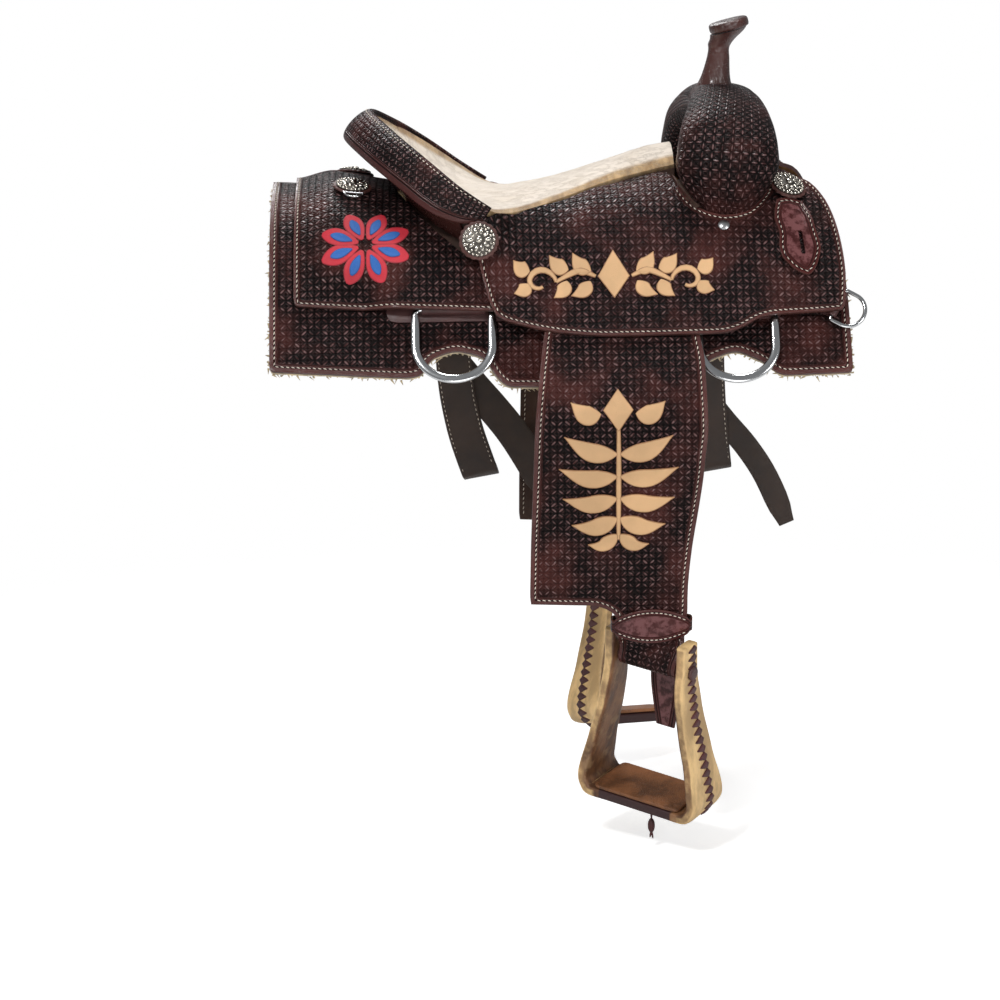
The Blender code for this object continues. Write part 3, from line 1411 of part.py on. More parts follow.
def build_leather_buckles():
    front = back_ply + leather_thickness / 2 + pin_gap + buckle_thickness / 2
    back = back_ply - leather_thickness / 2 - pin_gap - buckle_thickness / 2
    reach = leather_width / 2 + slide_gap + buckle_thickness / 2
    for name, side in sides.items():
        frames = ring_run(reach, front, back, 0.0012, lambda a, o: buckle_height / 2,
                          buckle_place + buckle_travel)
        frames = [(p, down, t * buckle_thickness / 2) for p, down, t in frames]
        centre = neck_frame(buckle_place + buckle_travel)[0]
        ribbon("leather_buckle_" + name, side, frames, (steel, 0.3, 1.0), mirror(centre, side), True)


def stirrup_frame(side):
    """Matrix of the stirrup: local X along its bolt, Y outwards through its window, Z up."""
    centre, across, facing, _ = neck_frame(bolt_place)
    centre = mirror(centre, side)
    across = mirror(across, side)
    facing = mirror(facing, side) * side
    up = across.cross(facing)
    return Matrix.Translation(centre) @ Matrix((across, facing, up)).transposed().to_4x4()


def leg_path():
    top = stirrup_top_width / 2 - stirrup_leg / 2
    low = stirrup_bottom_width / 2 - stirrup_leg / 2
    half = [(top, stirrup_rise), (top, stirrup_rise - 0.006), (top, 0.010), (top, -0.020),
            (mix(top, low, 0.22), -0.060), (mix(top, low, 0.62), -0.105), (mix(top, low, 0.92), -0.140),
            (low, -0.156), (low - 0.004, -0.166), (low - 0.011, -0.1715), (low - 0.035, -0.1715),
            (0.0, -0.1715)]
    return half + [(-x, z) for x, z in reversed(half[:-1])]


def leg_depth(z):
    marks = ((-0.172, stirrup_tread_depth), (-0.150, 0.0640), (-0.100, 0.0500), (-0.040, 0.0420),
             (0.010, stirrup_top_depth + 0.002), (0.040, stirrup_top_depth))
    return along_marks(marks, z)


def build_stirrups():
    section = round_corners([(-1.0, -1.0), (1.0, -1.0), (1.0, 1.0), (-1.0, 1.0)], 0.55, 2)
    path = leg_path()
    last = len(path) - 1
    tread_top = -0.1715 + stirrup_leg / 2
    for name, side in sides.items():
        points = []
        for i, (x, z) in enumerate(path):
            before = path[max(i - 1, 0)]
            after = path[min(i + 1, last)]
            tangent = Vector((after[0] - before[0], 0.0, after[1] - before[1])).normalized()
            across = Vector((0.0, 1.0, 0.0)).cross(tangent)
            end = 0.75 if i in (0, last) else 1.0
            for a, b in section:
                points.append(Vector((x, 0.0, z)) + across * a * stirrup_leg / 2 * end
                              + Vector((0.0, b * leg_depth(z) / 2 * end, 0.0)))
        frame = stirrup_frame(side)
        data = mesh_from("stirrup_" + name, points, tube_faces(len(path), len(section)))
        stirrup = place("stirrup_" + name, data, (raw_hide, 0.75, 0.0))
        stirrup.matrix_world = frame
        bore = bpy.data.meshes.new("stirrup_bore_" + name)
        work = bmesh.new()
        bmesh.ops.create_cone(work, cap_ends=True, segments=20, radius1=bolt_radius + pin_gap,
                              radius2=bolt_radius + pin_gap, depth=stirrup_top_width + 0.020)
        bmesh.ops.rotate(work, matrix=Matrix.Rotation(math.radians(90.0), 3, "Y"), verts=work.verts)
        work.to_mesh(bore)
        work.free()
        bore_cutter = cutter_from("stirrup_bore_" + name, bore)
        bore_cutter.matrix_world = frame
        cut(stirrup, bore_cutter)
        half = stirrup_bottom_width / 2 - stirrup_leg - 0.010
        deep = stirrup_tread_depth / 2 - 0.001
        cover = round_corners([(-half, -deep), (half, -deep), (half, deep), (-half, deep)], 0.008)
        low = tread_top + seat_gap
        tread = place("tread_cover_" + name,
                      prism("tread_cover_" + name, cover, low, low + tread_cover_thickness),
                      (tread_brown, 0.6, 0.0))
        tread.matrix_world = frame
        outer = stirrup_top_width / 2 + seat_gap
        spacer = stirrup_top_width / 2 - stirrup_leg - seat_gap
        profile = ((0.0, outer + bolt_head_height), (bolt_head_radius * 0.8, outer + bolt_head_height),
                   (bolt_head_radius, outer + bolt_head_height * 0.6), (bolt_head_radius, outer),
                   (bolt_radius, outer), (bolt_radius, spacer), (spacer_radius, spacer),
                   (spacer_radius, -spacer), (bolt_radius, -spacer), (bolt_radius, -outer),
                   (bolt_head_radius, -outer), (bolt_head_radius, -outer - bolt_head_height * 0.6),
                   (bolt_head_radius * 0.8, -outer - bolt_head_height), (0.0, -outer - bolt_head_height))
        turned("stirrup_bolt_" + name, profile, (steel, 0.3, 1.0),
               frame @ Matrix.Rotation(math.radians(90.0), 4, "Y"), 14)


def strap_ring(name, x, dee_v, drop, slant):
    """Strap looped through a left dee: a ring of frames that hangs below it, its end slanted."""
    inner = -(dee_thickness / 2 + strap_play + strap_thickness / 2)
    outer = inner + 0.0130
    middle = (inner + outer) / 2
    radius = (outer - inner) / 2
    path = []
    for step in range(7):
        angle = math.pi * step / 6
        path.append(lay(x, dee_v + 0.0700 - math.sin(angle) * radius,
                        dee_lift + middle - math.cos(angle) * radius))
    hang = lay(x, dee_v + dee_drop + 0.0070, dee_lift + 0.0020)
    spread = strap_loop_spread / 2
    for dy, dz in ((spread * 0.45, -0.010), (spread * 0.80, -0.040), (spread * 0.9, -0.100),
                   (spread, spread - drop), (spread * 0.7, spread * 0.3 - drop), (0.0, -drop),
                   (-spread * 0.7, spread * 0.3 - drop), (-spread, spread - drop),
                   (-spread * 0.9, -0.100), (-spread * 0.80, -0.040), (-spread * 0.45, -0.010)):
        path.append(hang + Vector((slant * dz / drop * -1.0, dy, dz)))
    frames = []
    count = len(path)
    for i, point in enumerate(path):
        tangent = (path[(i + 1) % count] - path[i - 1]).normalized()
        through_way = tangent.cross(Vector((1.0, 0.0, 0.0)))
        frames.append((point, Vector((strap_width / 2, 0.0, 0.0)), through_way * strap_thickness / 2))
    origin = lay(x, dee_v + dee_drop - dee_wire / 2, dee_lift)
    ribbon(name, 1.0, frames, (strap_brown, 0.5, 0.0), origin, True)


def build_straps():
    strap_ring("billet_left", rear_dee_x, rear_dee_v, billet_drop, 0.030)
    strap_ring("latigo_left", front_dee_x + 0.003, front_dee_v, latigo_drop, 0.022)


saddle_builders = (build_skirts, build_tree_bars, build_rear_jockeys, build_seat_jockeys, build_fork,
                   build_horn, build_seat, build_cantle, build_ground_seat, build_roll,
                   build_rigging_tabs, build_dees, build_breast_dees, build_conchos, build_keepers,
                   build_fenders, build_leathers, build_hobbles, build_leather_buckles,
                   build_stirrups, build_straps)


def main():
    for old in list(bpy.data.objects):
        bpy.data.objects.remove(old)
    bpy.context.scene.collection.children.link(saddle)
    bpy.context.scene.collection.children.link(cutters)
    for build in saddle_builders:
        build()


main()
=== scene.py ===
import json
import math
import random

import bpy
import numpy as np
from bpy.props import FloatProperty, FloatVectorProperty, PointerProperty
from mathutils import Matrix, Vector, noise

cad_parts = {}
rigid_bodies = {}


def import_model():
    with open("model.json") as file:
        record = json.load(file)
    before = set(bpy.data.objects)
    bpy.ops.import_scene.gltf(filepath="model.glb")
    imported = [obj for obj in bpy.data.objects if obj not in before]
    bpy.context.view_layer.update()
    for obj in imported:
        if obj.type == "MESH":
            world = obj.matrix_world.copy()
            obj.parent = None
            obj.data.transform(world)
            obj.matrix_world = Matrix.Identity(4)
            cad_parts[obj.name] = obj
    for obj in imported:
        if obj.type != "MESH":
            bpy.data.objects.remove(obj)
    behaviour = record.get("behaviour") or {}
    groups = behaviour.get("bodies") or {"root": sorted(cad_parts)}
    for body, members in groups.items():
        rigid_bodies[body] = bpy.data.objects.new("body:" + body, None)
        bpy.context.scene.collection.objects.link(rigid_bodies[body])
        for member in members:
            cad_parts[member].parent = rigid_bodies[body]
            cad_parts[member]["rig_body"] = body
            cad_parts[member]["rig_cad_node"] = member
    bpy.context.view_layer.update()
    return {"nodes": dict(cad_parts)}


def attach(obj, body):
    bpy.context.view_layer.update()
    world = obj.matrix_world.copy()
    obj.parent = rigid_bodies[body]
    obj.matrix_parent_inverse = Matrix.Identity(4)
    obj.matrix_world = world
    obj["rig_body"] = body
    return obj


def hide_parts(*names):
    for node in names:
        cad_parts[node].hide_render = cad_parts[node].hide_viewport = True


bl_info = {
    "name": "Western saddle",
    "version": (1, 0, 0),
    "blender": (4, 5, 0),
    "location": "3D View > Sidebar > Saddle",
    "description": "Dresses the saddle's frame in tooled leather, suede, fleece, silver and steel",
    "category": "Object",
}

for spare in list(bpy.data.objects):
    bpy.data.objects.remove(spare)
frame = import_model()
nodes = frame["nodes"]
sides = {"right": -1.0, "left": 1.0}

side_slope = math.radians(60.0)
side_height = 0.1
side_foot_y = 0.218
side_foot_z = -0.132
back_dip_z = 0.014
back_rise = 0.041
roof_slope_at_ends = math.radians(10.0)
dip_rear_x = -0.06
dip_front_x = 0.04
rear_rise_length = 0.27
front_rise_length = 0.19
seat_gap = 0.0003
slide_gap = 0.0006
pin_gap = 0.0004
curve_gap = 0.0012
skirt_thickness = 0.005
skirt_rear_x = -0.331
skirt_front_x = 0.314
channel_half_width = 0.036
fleece_thickness = 0.0115
notch_radius = 0.034
notch_depth = 0.044
dee_width = 0.095
dee_wire = 0.01
dee_drop = 0.0875
rear_dee_v = 0.031
front_dee_v = 0.037
dee_thickness = 0.005
dee_bar = 0.006
rear_dee_x = -0.1265
front_dee_x = 0.187
tab_thickness = 0.0022
rear_dee_swing_clearance = 0.0004
breast_dee_wire = 0.0045
breast_tab_thickness = 0.0018
bar_thickness = 0.013
fork_x = 0.1845
fork_half_length = 0.057
fork_fullness = 2.7
horn_cap_length = 0.046
horn_cap_width = 0.056
horn_cap_thickness = 0.011
horn_cap_tilt = math.radians(14.0)
horn_cap_x = 0.197
horn_cap_z = 0.227
seat_thickness = 0.008
cantle_rear_x = -0.22
cantle_top_z = 0.137
cantle_foot_x = -0.183
cantle_back_thickness = 0.0025
roll_width = 0.046
roll_thickness = 0.017
seat_jockey_thickness = 0.0048
rear_jockey_thickness = 0.0045
fender_thickness = 0.0045
fender_flat_end = 0.122
fender_bend_radius = 0.13
fender_lean = math.radians(102.0)
leather_width = 0.075
leather_thickness = 0.0035
leather_top = 0.002
leather_x = 0.09
neck_turn = math.radians(36.0)
neck_turn_start = 0.424
neck_turn_end = 0.456
hobble_middle = 0.414
hobble_thickness = 0.0025
hobble_height = 0.042
hobble_end_height = 0.014
hobble_width = 0.092
tail_length = 0.14
tail_width = 0.04
bolt_place = 0.463
spacer_radius = 0.007
stirrup_top_width = 0.108
stirrup_bottom_width = 0.16
stirrup_rise = 0.034
stirrup_leg = 0.013
stirrup_top_depth = 0.028
stirrup_tread_depth = 0.068
concho_radius = 0.0185
rosette_radius = 0.0225
rosette_thickness = 0.0025
concho_gap = 0.0012
front_concho_gap = 0.0024
side_concho_gap = 0.0082
keeper_thickness = 0.003
keeper_slot_place = (0.2636, -0.034)
keeper_slot_size = (0.0042, 0.03, 0.02)
keeper_slot_turn = math.radians(-4.0)
jockey_seam_inset = 0.0038
breast_dee_x = 0.301
breast_dee_v = 0.0335
breast_dee_turn = math.radians(-59.0)
breast_dee_width = 0.044
breast_dee_drop = 0.034
billet_drop = 0.195
billet_slant = 0.034
latigo_drop = 0.188
latigo_slant = 0.01
outwards = Vector((0.0, 1.0, 0.0))


def smooth(t):
    """Rise from 0 to 1 with level ends."""
    t = min(max(t, 0.0), 1.0)
    return t * t * (3.0 - 2.0 * t)


def mix(a, b, t):
    return a + (b - a) * t


flat_top_y = side_foot_y - side_height * math.cos(side_slope)
flat_top_z = side_foot_z + side_height * math.sin(side_slope)


def ridge_z(x):
    """Height of the skirts' outer face on the centre line."""
    if x < dip_rear_x:
        return back_dip_z + back_rise * smooth((dip_rear_x - x) / rear_rise_length)
    return back_dip_z + back_rise * smooth((x - dip_front_x) / front_rise_length)


def back_section(x):
    """Roof slope, roof width and shoulder radius of the cross-section at x."""
    slope = roof_slope_at_ends * (ridge_z(x) - back_dip_z) / back_rise
    sin_gain = math.sin(side_slope) - math.sin(slope)
    cos_gain = math.cos(slope) - math.cos(side_slope)
    rise = ridge_z(x) - flat_top_z
    det = math.cos(slope) * cos_gain - math.sin(slope) * sin_gain
    roof = (flat_top_y * cos_gain - rise * sin_gain) / det
    radius = (math.cos(slope) * rise - math.sin(slope) * flat_top_y) / det
    return slope, roof, radius


def side_point(x, v):
    """Outward y, z and the slope of the skirt's outer face at a pattern point."""
    if v >= 0.0:
        y = flat_top_y + v * math.cos(side_slope)
        return y, flat_top_z - v * math.sin(side_slope), side_slope
    slope, _, radius = back_section(x)
    arc = radius * (side_slope - slope)
    turn = side_slope + max(v, -arc) / radius
    y = flat_top_y - radius * (math.sin(side_slope) - math.sin(turn))
    z = flat_top_z + radius * (math.cos(turn) - math.cos(side_slope))
    rest = max(-v - arc, 0.0)
    return y - rest * math.cos(slope), z + rest * math.sin(slope), turn


def ridge_v(x):
    """Pattern distance from the side line up to the centre line."""
    slope, roof, radius = back_section(x)
    return -(roof + radius * (side_slope - slope))


def lay(x, v, lift):
    """Outward point (x, y, z) over a pattern point, y counted outwards from the centre."""
    y, z, slope = side_point(x, v)
    return Vector((x, y + lift * math.sin(slope), z + lift * math.cos(slope)))


def v_at(x, y):
    """Pattern v of the skirt's outer face at an outward distance y."""
    slope, _, radius = back_section(x)
    if y >= flat_top_y:
        return (y - flat_top_y) / math.cos(side_slope)
    sine = math.sin(side_slope) - (flat_top_y - y) / radius
    if sine >= math.sin(slope):
        return -radius * (side_slope - math.asin(sine))
    shoulder_y = flat_top_y - radius * (math.sin(side_slope) - math.sin(slope))
    return -radius * (side_slope - slope) - (shoulder_y - y) / math.cos(slope)


def even(count):
    """Shares set evenly from 0 to 1."""
    return [i / (count - 1) for i in range(count)]


def mirror(point, side):
    return Vector((point[0], point[1] * side, point[2]))


def rounded(points, radius, arc_steps=4):
    """Open run of pattern points with its inner corners rounded."""
    run = [Vector(points[0])]
    for before, corner, after in zip(points, points[1:], points[2:]):
        corner = Vector(corner)
        back = Vector(before) - corner
        ahead = Vector(after) - corner
        cut = min(radius, back.length * 0.45, ahead.length * 0.45)
        start = corner + back.normalized() * cut
        end = corner + ahead.normalized() * cut
        for step in range(arc_steps + 1):
            t = step / arc_steps
            run.append(start * (1 - t) ** 2 + corner * 2 * t * (1 - t) + end * t ** 2)
    run.append(Vector(points[-1]))
    return run


def at_share(run, share):
    """Point of a run at a share of its length."""
    lengths = [0.0]
    for a, b in zip(run, run[1:]):
        lengths.append(lengths[-1] + (b - a).length)
    want = lengths[-1] * min(max(share, 0.0), 1.0)
    k = 0
    while k < len(run) - 2 and lengths[k + 1] < want:
        k += 1
    return run[k].lerp(run[k + 1], (want - lengths[k]) / max(lengths[k + 1] - lengths[k], 1e-9))


def spaced(run, count):
    """The run's points set evenly along its length."""
    return [at_share(run, i / (count - 1)) for i in range(count)]


def patch(top, bottom, rear, front, columns, shares):
    """Pattern points that fill four border runs, row by row at shares of the way down."""
    top = spaced(top, columns)
    bottom = spaced(bottom, columns)
    rear = [at_share(rear, t) for t in shares]
    front = [at_share(front, t) for t in shares]
    points = []
    for i, t in enumerate(shares):
        for j in range(columns):
            s = j / (columns - 1)
            across = top[j].lerp(bottom[j], t) + rear[i].lerp(front[i], s)
            corners = top[0].lerp(top[-1], s).lerp(bottom[0].lerp(bottom[-1], s), t)
            points.append(across - corners)
    return points


bar_top_lift = curve_gap + bar_thickness
dee_bore = math.hypot(dee_bar, dee_thickness) / 2 + pin_gap
tab_radius = dee_bore + tab_thickness
dee_lift = seat_gap + tab_radius
rigging_lift = seat_gap + 2 * tab_radius
fender_lift = rigging_lift + slide_gap
rear_jockey_lift = rigging_lift + rear_dee_swing_clearance
seat_jockey_lift = max(fender_lift + fender_thickness + slide_gap,
                       rear_jockey_lift + rear_jockey_thickness + seat_gap)
breast_bore = math.hypot(breast_dee_wire, breast_dee_wire * 0.9) / 2 + pin_gap
breast_tab_radius = breast_bore + breast_tab_thickness
front_jockey_lift = seat_gap + 2 * breast_tab_radius + slide_gap


def seat_border(x):
    """Height over the skirt that the seat jockey reaches at its upper edge."""
    marks = ((-0.104, 0.047), (-0.081, 0.0495), (-0.049, 0.033), (-0.003, 0.031), (0.043, 0.04),
             (0.09, 0.044), (0.16, 0.042), (0.23, 0.034), (0.27, 0.021), (0.312, 0.014))
    return along_marks(marks, x)


def along_marks(marks, x):
    """Value at x of a smooth run through (x, value) marks."""
    if x <= marks[0][0]:
        return marks[0][1]
    for (x0, value0), (x1, value1) in zip(marks, marks[1:]):
        if x <= x1:
            return mix(value0, value1, smooth((x - x0) / (x1 - x0)))
    return marks[-1][1]


jockey_top_marks = ((-0.104, -0.046), (-0.081, -0.048), (-0.049, -0.069), (-0.003, -0.093),
                    (0.043, -0.111), (0.09, -0.123), (0.126, -0.132), (0.24, -0.14),
                    (0.312, -0.14))


def seat_jockey_inner(x, v):
    """Seat jockey's underside: flat over the fender, up to the seat, down to the front edge."""
    low = mix(seat_jockey_lift, front_jockey_lift, smooth((x - front_dee_x) / 0.09))
    high = seat_border(x) - seat_jockey_thickness
    top = along_marks(jockey_top_marks, x)
    return mix(low, high, max(v / top, 0.0) ** 1.25)


def seat_jockey_outer(x, v):
    return seat_jockey_inner(x, v) + seat_jockey_thickness


def fender_point(length, offset=0.0):
    """Outward y, z and slope on the fender's middle face at a length below the side line."""
    lift = fender_lift + fender_thickness / 2
    flat = min(length, fender_flat_end)
    y = flat_top_y + flat * math.cos(side_slope) + lift * math.sin(side_slope)
    z = flat_top_z - flat * math.sin(side_slope) + lift * math.cos(side_slope)
    bend = max(min(length - fender_flat_end, fender_bend_radius * (fender_lean - side_slope)), 0.0)
    turn = side_slope + bend / fender_bend_radius
    y += fender_bend_radius * (math.sin(turn) - math.sin(side_slope))
    z -= fender_bend_radius * (math.cos(side_slope) - math.cos(turn))
    rest = max(length - fender_flat_end - fender_bend_radius * (fender_lean - side_slope), 0.0)
    y += rest * math.cos(turn)
    z -= rest * math.sin(turn)
    return y + offset * math.sin(turn), z + offset * math.cos(turn), turn


seat_centre_run = [Vector(p) for p in (
    (0.129, 0.0, 0.093), (0.1, 0.0, 0.088), (0.06, 0.0, 0.076), (0.02, 0.0, 0.062),
    (-0.03, 0.0, 0.048), (-0.08, 0.0, 0.04), (-0.125, 0.0, 0.045), (-0.165, 0.0, 0.062),
    (-0.195, 0.0, 0.092), (cantle_rear_x + 0.004, 0.0, cantle_top_z - 0.008))]
seat_border_run = [Vector(p) for p in (
    (0.129, 0.06, 0.074), (0.095, 0.065, 0.067), (0.05, 0.075, 0.057),
    (0.005, 0.095, 0.044), (-0.04, 0.123, 0.033), (-0.078, 0.156, 0.034),
    (-0.112, 0.156, 0.056), (-0.15, 0.129, 0.086), (-0.185, 0.09, 0.112),
    (cantle_rear_x + 0.007, 0.03, cantle_top_z - 0.005))]


def through(points, per_span):
    """Smooth run through points, with per_span steps between each two."""
    run = []
    last = len(points) - 1
    for i in range(last):
        a = points[max(i - 1, 0)]
        b = points[i]
        c = points[i + 1]
        d = points[min(i + 2, last)]
        for step in range(per_span):
            t = step / per_span
            run.append(0.5 * (2 * b + (c - a) * t + (2 * a - 5 * b + 4 * c - d) * t * t
                              + (3 * b - a - 3 * c + d) * t ** 3))
    run.append(points[-1])
    return run


fork_outer_run = ((0.136, -0.008), (0.143, 0.02), (0.153, 0.045), (0.158, 0.075), (0.15, 0.105),
                  (0.125, 0.13), (0.085, 0.148), (0.04, 0.158), (0.0, 0.16))
fork_inner_run = ((0.09, 0.032), (0.088, 0.044), (0.086, 0.058), (0.08, 0.072), (0.072, 0.086),
                  (0.058, 0.097), (0.038, 0.105), (0.018, 0.109), (0.0, 0.11))
fork_length_marks = (0.4, 0.52, 0.8, 1.00, 0.99, 0.94, 0.84, 0.76, 0.72)
fork_shift_marks = (-0.002, -0.002, -0.001, 0.000, 0.001, 0.0025, 0.005, 0.0065, 0.0065)


def fork_rings(shrink, columns):
    """Sections of the fork, taken in all round by shrink."""
    rings = []
    count = len(fork_outer_run)
    order = [(i, -1.0) for i in range(count)] + [(i, 1.0) for i in range(count - 2, -1, -1)]
    for i, side in order:
        outer = Vector((0.0, fork_outer_run[i][0] * side, fork_outer_run[i][1]))
        inner = Vector((0.0, fork_inner_run[i][0] * side, fork_inner_run[i][1]))
        centre = (outer + inner) / 2
        radial = outer - inner
        half = radial.length / 2 - shrink
        radial.normalize()
        length = fork_half_length * fork_length_marks[i] - shrink
        ring = []
        for j in range(columns):
            angle = 2.0 * math.pi * j / columns
            c, s = math.cos(angle), math.sin(angle)
            power = 2.0 / fork_fullness
            along = math.copysign(abs(c) ** power, c) * length
            out = math.copysign(abs(s) ** power, s) * half
            top_tilt = -0.1 * along if i >= 5 else 0.0
            x = fork_x + fork_shift_marks[i] + along
            ring.append(Vector((x, 0.0, 0.0)) + centre + radial * (out + top_tilt))
        rings.append(ring)
    return rings


def cantle_foot_run(out):
    """Foot of the cantle's back on the bars, from the centre to the wing, moved out."""
    run = []
    for x, y in ((cantle_foot_x, 0.0), (-0.18, 0.05), (-0.165, 0.09), (-0.14, 0.122),
                 (-0.108, 0.146), (-0.086, 0.152)):
        away = Vector((x + 0.06, y)).normalized() * out
        run.append((x + away.x, y + away.y))
    return run


def round_corners(points, radius, steps=3):
    """Closed outline with its corners rounded."""
    count = len(points)
    run = []
    for i in range(count):
        run += rounded([points[i - 1], points[i], points[(i + 1) % count]], radius, steps)[1:-1]
    return [(p.x, p.y) for p in run]


def rear_jockey_outer(x, v):
    """Rear jockey's face: over the bar, up over the dee tab, down to the skirt between them."""
    over_bar = (bar_top_lift + curve_gap) * smooth((x + 0.31) / 0.055) * smooth((0.028 - v) / 0.06)
    over_tab = rear_jockey_lift * smooth((x + 0.186) / 0.05 + 1.0) * smooth((v + 0.06) / 0.045)
    return (over_bar ** 4 + over_tab ** 4 + curve_gap ** 4) ** 0.25 + rear_jockey_thickness


ply_step = leather_thickness + seat_gap
front_ply = -(fender_thickness / 2 + seat_gap * 2 + leather_thickness / 2)
back_ply = front_ply - ply_step
neck_offset = (front_ply + back_ply) / 2
loop_radius = spacer_radius + seat_gap + leather_thickness / 2


def neck_frame(length):
    """Middle of the neck and its width, outward and down directions, in outward points."""
    y, z, slope = fender_point(length, neck_offset)
    down = Vector((0.0, math.cos(slope), -math.sin(slope)))
    out = Vector((0.0, math.sin(slope), math.cos(slope)))
    along = Vector((1.0, 0.0, 0.0))
    turn = neck_turn * smooth((length - neck_turn_start) / (neck_turn_end - neck_turn_start))
    across = along * math.cos(turn) + out * math.sin(turn)
    facing = out * math.cos(turn) - along * math.sin(turn)
    return Vector((leather_x, y, z)), across, facing, down


def neck_run(path, widths, half_thickness, shift=0.0):
    """Frames of a strap whose path is given by offset from the fender and length."""
    frames = []
    last = len(path) - 1
    for i, (offset, length) in enumerate(path):
        before = path[max(i - 1, 0)]
        after = path[min(i + 1, last)]
        tangent = Vector((after[0] - before[0], after[1] - before[1])).normalized()
        centre, across, facing, down = neck_frame(length)
        through_way = facing * tangent.y - down * tangent.x
        moved = shift * i / last
        frames.append((centre + facing * (offset - neck_offset) + across * moved,
                       across * widths[min(i, len(widths) - 1)], through_way * half_thickness))
    return frames


def leather_path():
    path = [(front_ply, leather_top), (front_ply, 0.06), (front_ply, fender_flat_end)]
    path += [(mix(front_ply, back_ply, smooth((l - 0.108) / 0.11)), l)
             for l in (0.134, 0.146, 0.158, 0.17, 0.182, 0.194, 0.206, 0.218, 0.236)]
    path += [(back_ply, l) for l in (0.34, 0.4, 0.424, 0.43, 0.436, 0.442)]
    for degrees in range(205, -26, -23):
        angle = math.radians(degrees)
        path.append((neck_offset + loop_radius * math.cos(angle),
                     bolt_place + loop_radius * math.sin(angle)))
    path += [(front_ply, l) for l in (0.442, 0.436, 0.43, 0.424, 0.396)]
    return path


def ring_run(half_width, front, back, corner, height_at, length):
    """Closed band of frames round the neck: across it, down it and through its leather."""
    corners = [(-half_width, front), (half_width, front), (half_width, back), (-half_width, back)]
    run = round_corners(corners, corner, 3)
    fill = []
    for a, b in zip(run, run[1:] + run[:1]):
        fill.append(a)
        if math.hypot(b[0] - a[0], b[1] - a[1]) > 0.03:
            fill += [(mix(a[0], b[0], k / 6), mix(a[1], b[1], k / 6)) for k in range(1, 6)]
    frames = []
    centre, across, facing, down = neck_frame(length)
    count = len(fill)
    for i, (a, offset) in enumerate(fill):
        before = fill[i - 1]
        after = fill[(i + 1) % count]
        tangent = Vector((after[0] - before[0], after[1] - before[1])).normalized()
        through_way = facing * tangent.x - across * tangent.y
        point = centre + across * a + facing * (offset - neck_offset)
        frames.append((point, down * height_at(a, offset), through_way))
    return frames


def stirrup_frame(side):
    """Matrix of the stirrup: local X along its bolt, Y outwards through its window, Z up."""
    centre, across, facing, _ = neck_frame(bolt_place)
    centre = mirror(centre, side)
    across = mirror(across, side)
    facing = mirror(facing, side) * side
    up = across.cross(facing)
    return Matrix.Translation(centre) @ Matrix((across, facing, up)).transposed().to_4x4()


def leg_path():
    top = stirrup_top_width / 2 - stirrup_leg / 2
    low = stirrup_bottom_width / 2 - stirrup_leg / 2
    half = [(top, stirrup_rise), (top, stirrup_rise - 0.006), (top, 0.01), (top, -0.02),
            (mix(top, low, 0.22), -0.06), (mix(top, low, 0.62), -0.105), (mix(top, low, 0.92), -0.14),
            (low, -0.156), (low - 0.004, -0.166), (low - 0.011, -0.1715), (low - 0.035, -0.1715),
            (0.0, -0.1715)]
    return half + [(-x, z) for x, z in reversed(half[:-1])]


def leg_depth(z):
    marks = ((-0.172, stirrup_tread_depth), (-0.15, 0.064), (-0.1, 0.05), (-0.04, 0.042),
             (0.01, stirrup_top_depth + 0.002), (0.04, stirrup_top_depth))
    return along_marks(marks, z)


class SaddleLook(bpy.types.PropertyGroup):
    """Colours and sizes of the saddle's finishes."""

    leather: FloatVectorProperty(name="Leather", description="Raised face of the tooled leather",
                                 subtype="COLOR", size=3, default=(0.086, 0.032, 0.03))
    # Recess colour: antique dye in the tooling's hollows, and painted shade there too, since the bumped
    # hollows cast none.
    hollow_dye_and_shade: FloatVectorProperty(name="Recess", description="Antiqued hollows of the tooling",
                                subtype="COLOR", size=3, default=(0.0042, 0.002, 0.002))
    burnish: FloatVectorProperty(name="Burnished edge", description="Cut edges of the leather",
                                 subtype="COLOR", size=3, default=(0.088, 0.03, 0.024))
    flesh: FloatVectorProperty(name="Flesh side", description="Undyed rear side of the leather",
                               subtype="COLOR", size=3, default=(0.48, 0.23, 0.08))
    thread: FloatVectorProperty(name="Thread", description="Waxed stitching thread",
                                subtype="COLOR", size=3, default=(0.84, 0.73, 0.61))
    suede: FloatVectorProperty(name="Suede", description="Roughout seat",
                               subtype="COLOR", size=3, default=(0.72, 0.56, 0.36))
    fleece: FloatVectorProperty(name="Fleece", description="Sheepskin lining",
                                subtype="COLOR", size=3, default=(0.7, 0.56, 0.34))
    rawhide: FloatVectorProperty(name="Rawhide", description="Outer faces of the stirrups",
                                 subtype="COLOR", size=3, default=(0.86, 0.56, 0.26))
    overlay: FloatVectorProperty(name="Overlay", description="Undyed leather overlays",
                                 subtype="COLOR", size=3, default=(0.72, 0.44, 0.22))
    stamp_across: FloatProperty(name="Stamp across", description="Repeat of the basket stamp",
                                default=0.0156, min=0.004, unit="LENGTH")
    stamp_down: FloatProperty(name="Stamp down", description="Repeat of the basket stamp down the leather",
                              default=0.0144, min=0.004, unit="LENGTH")
    pitch: FloatProperty(name="Stitch pitch", description="From one stitch to the next",
                         default=0.0059, min=0.002, unit="LENGTH")
    seam_inset: FloatProperty(name="Seam inset", description="From a leather's edge to its seam",
                              default=0.0056, min=0.002, unit="LENGTH")


class StudioLook(bpy.types.PropertyGroup):
    """Floor, lamps and camera."""

    floor: FloatVectorProperty(name="Floor", description="Pale floor and backdrop",
                               subtype="COLOR", size=3, default=(0.86, 0.86, 0.86))
    key_power: FloatProperty(name="Key lamp", description="Large soft lamp by the camera",
                             default=58.0, min=0.0, unit="POWER")
    lens: FloatProperty(name="Lens", description="Focal length on a 36 mm frame", default=115.2, min=10.0)


def look():
    return bpy.context.scene.saddle_look


# Modelling helpers

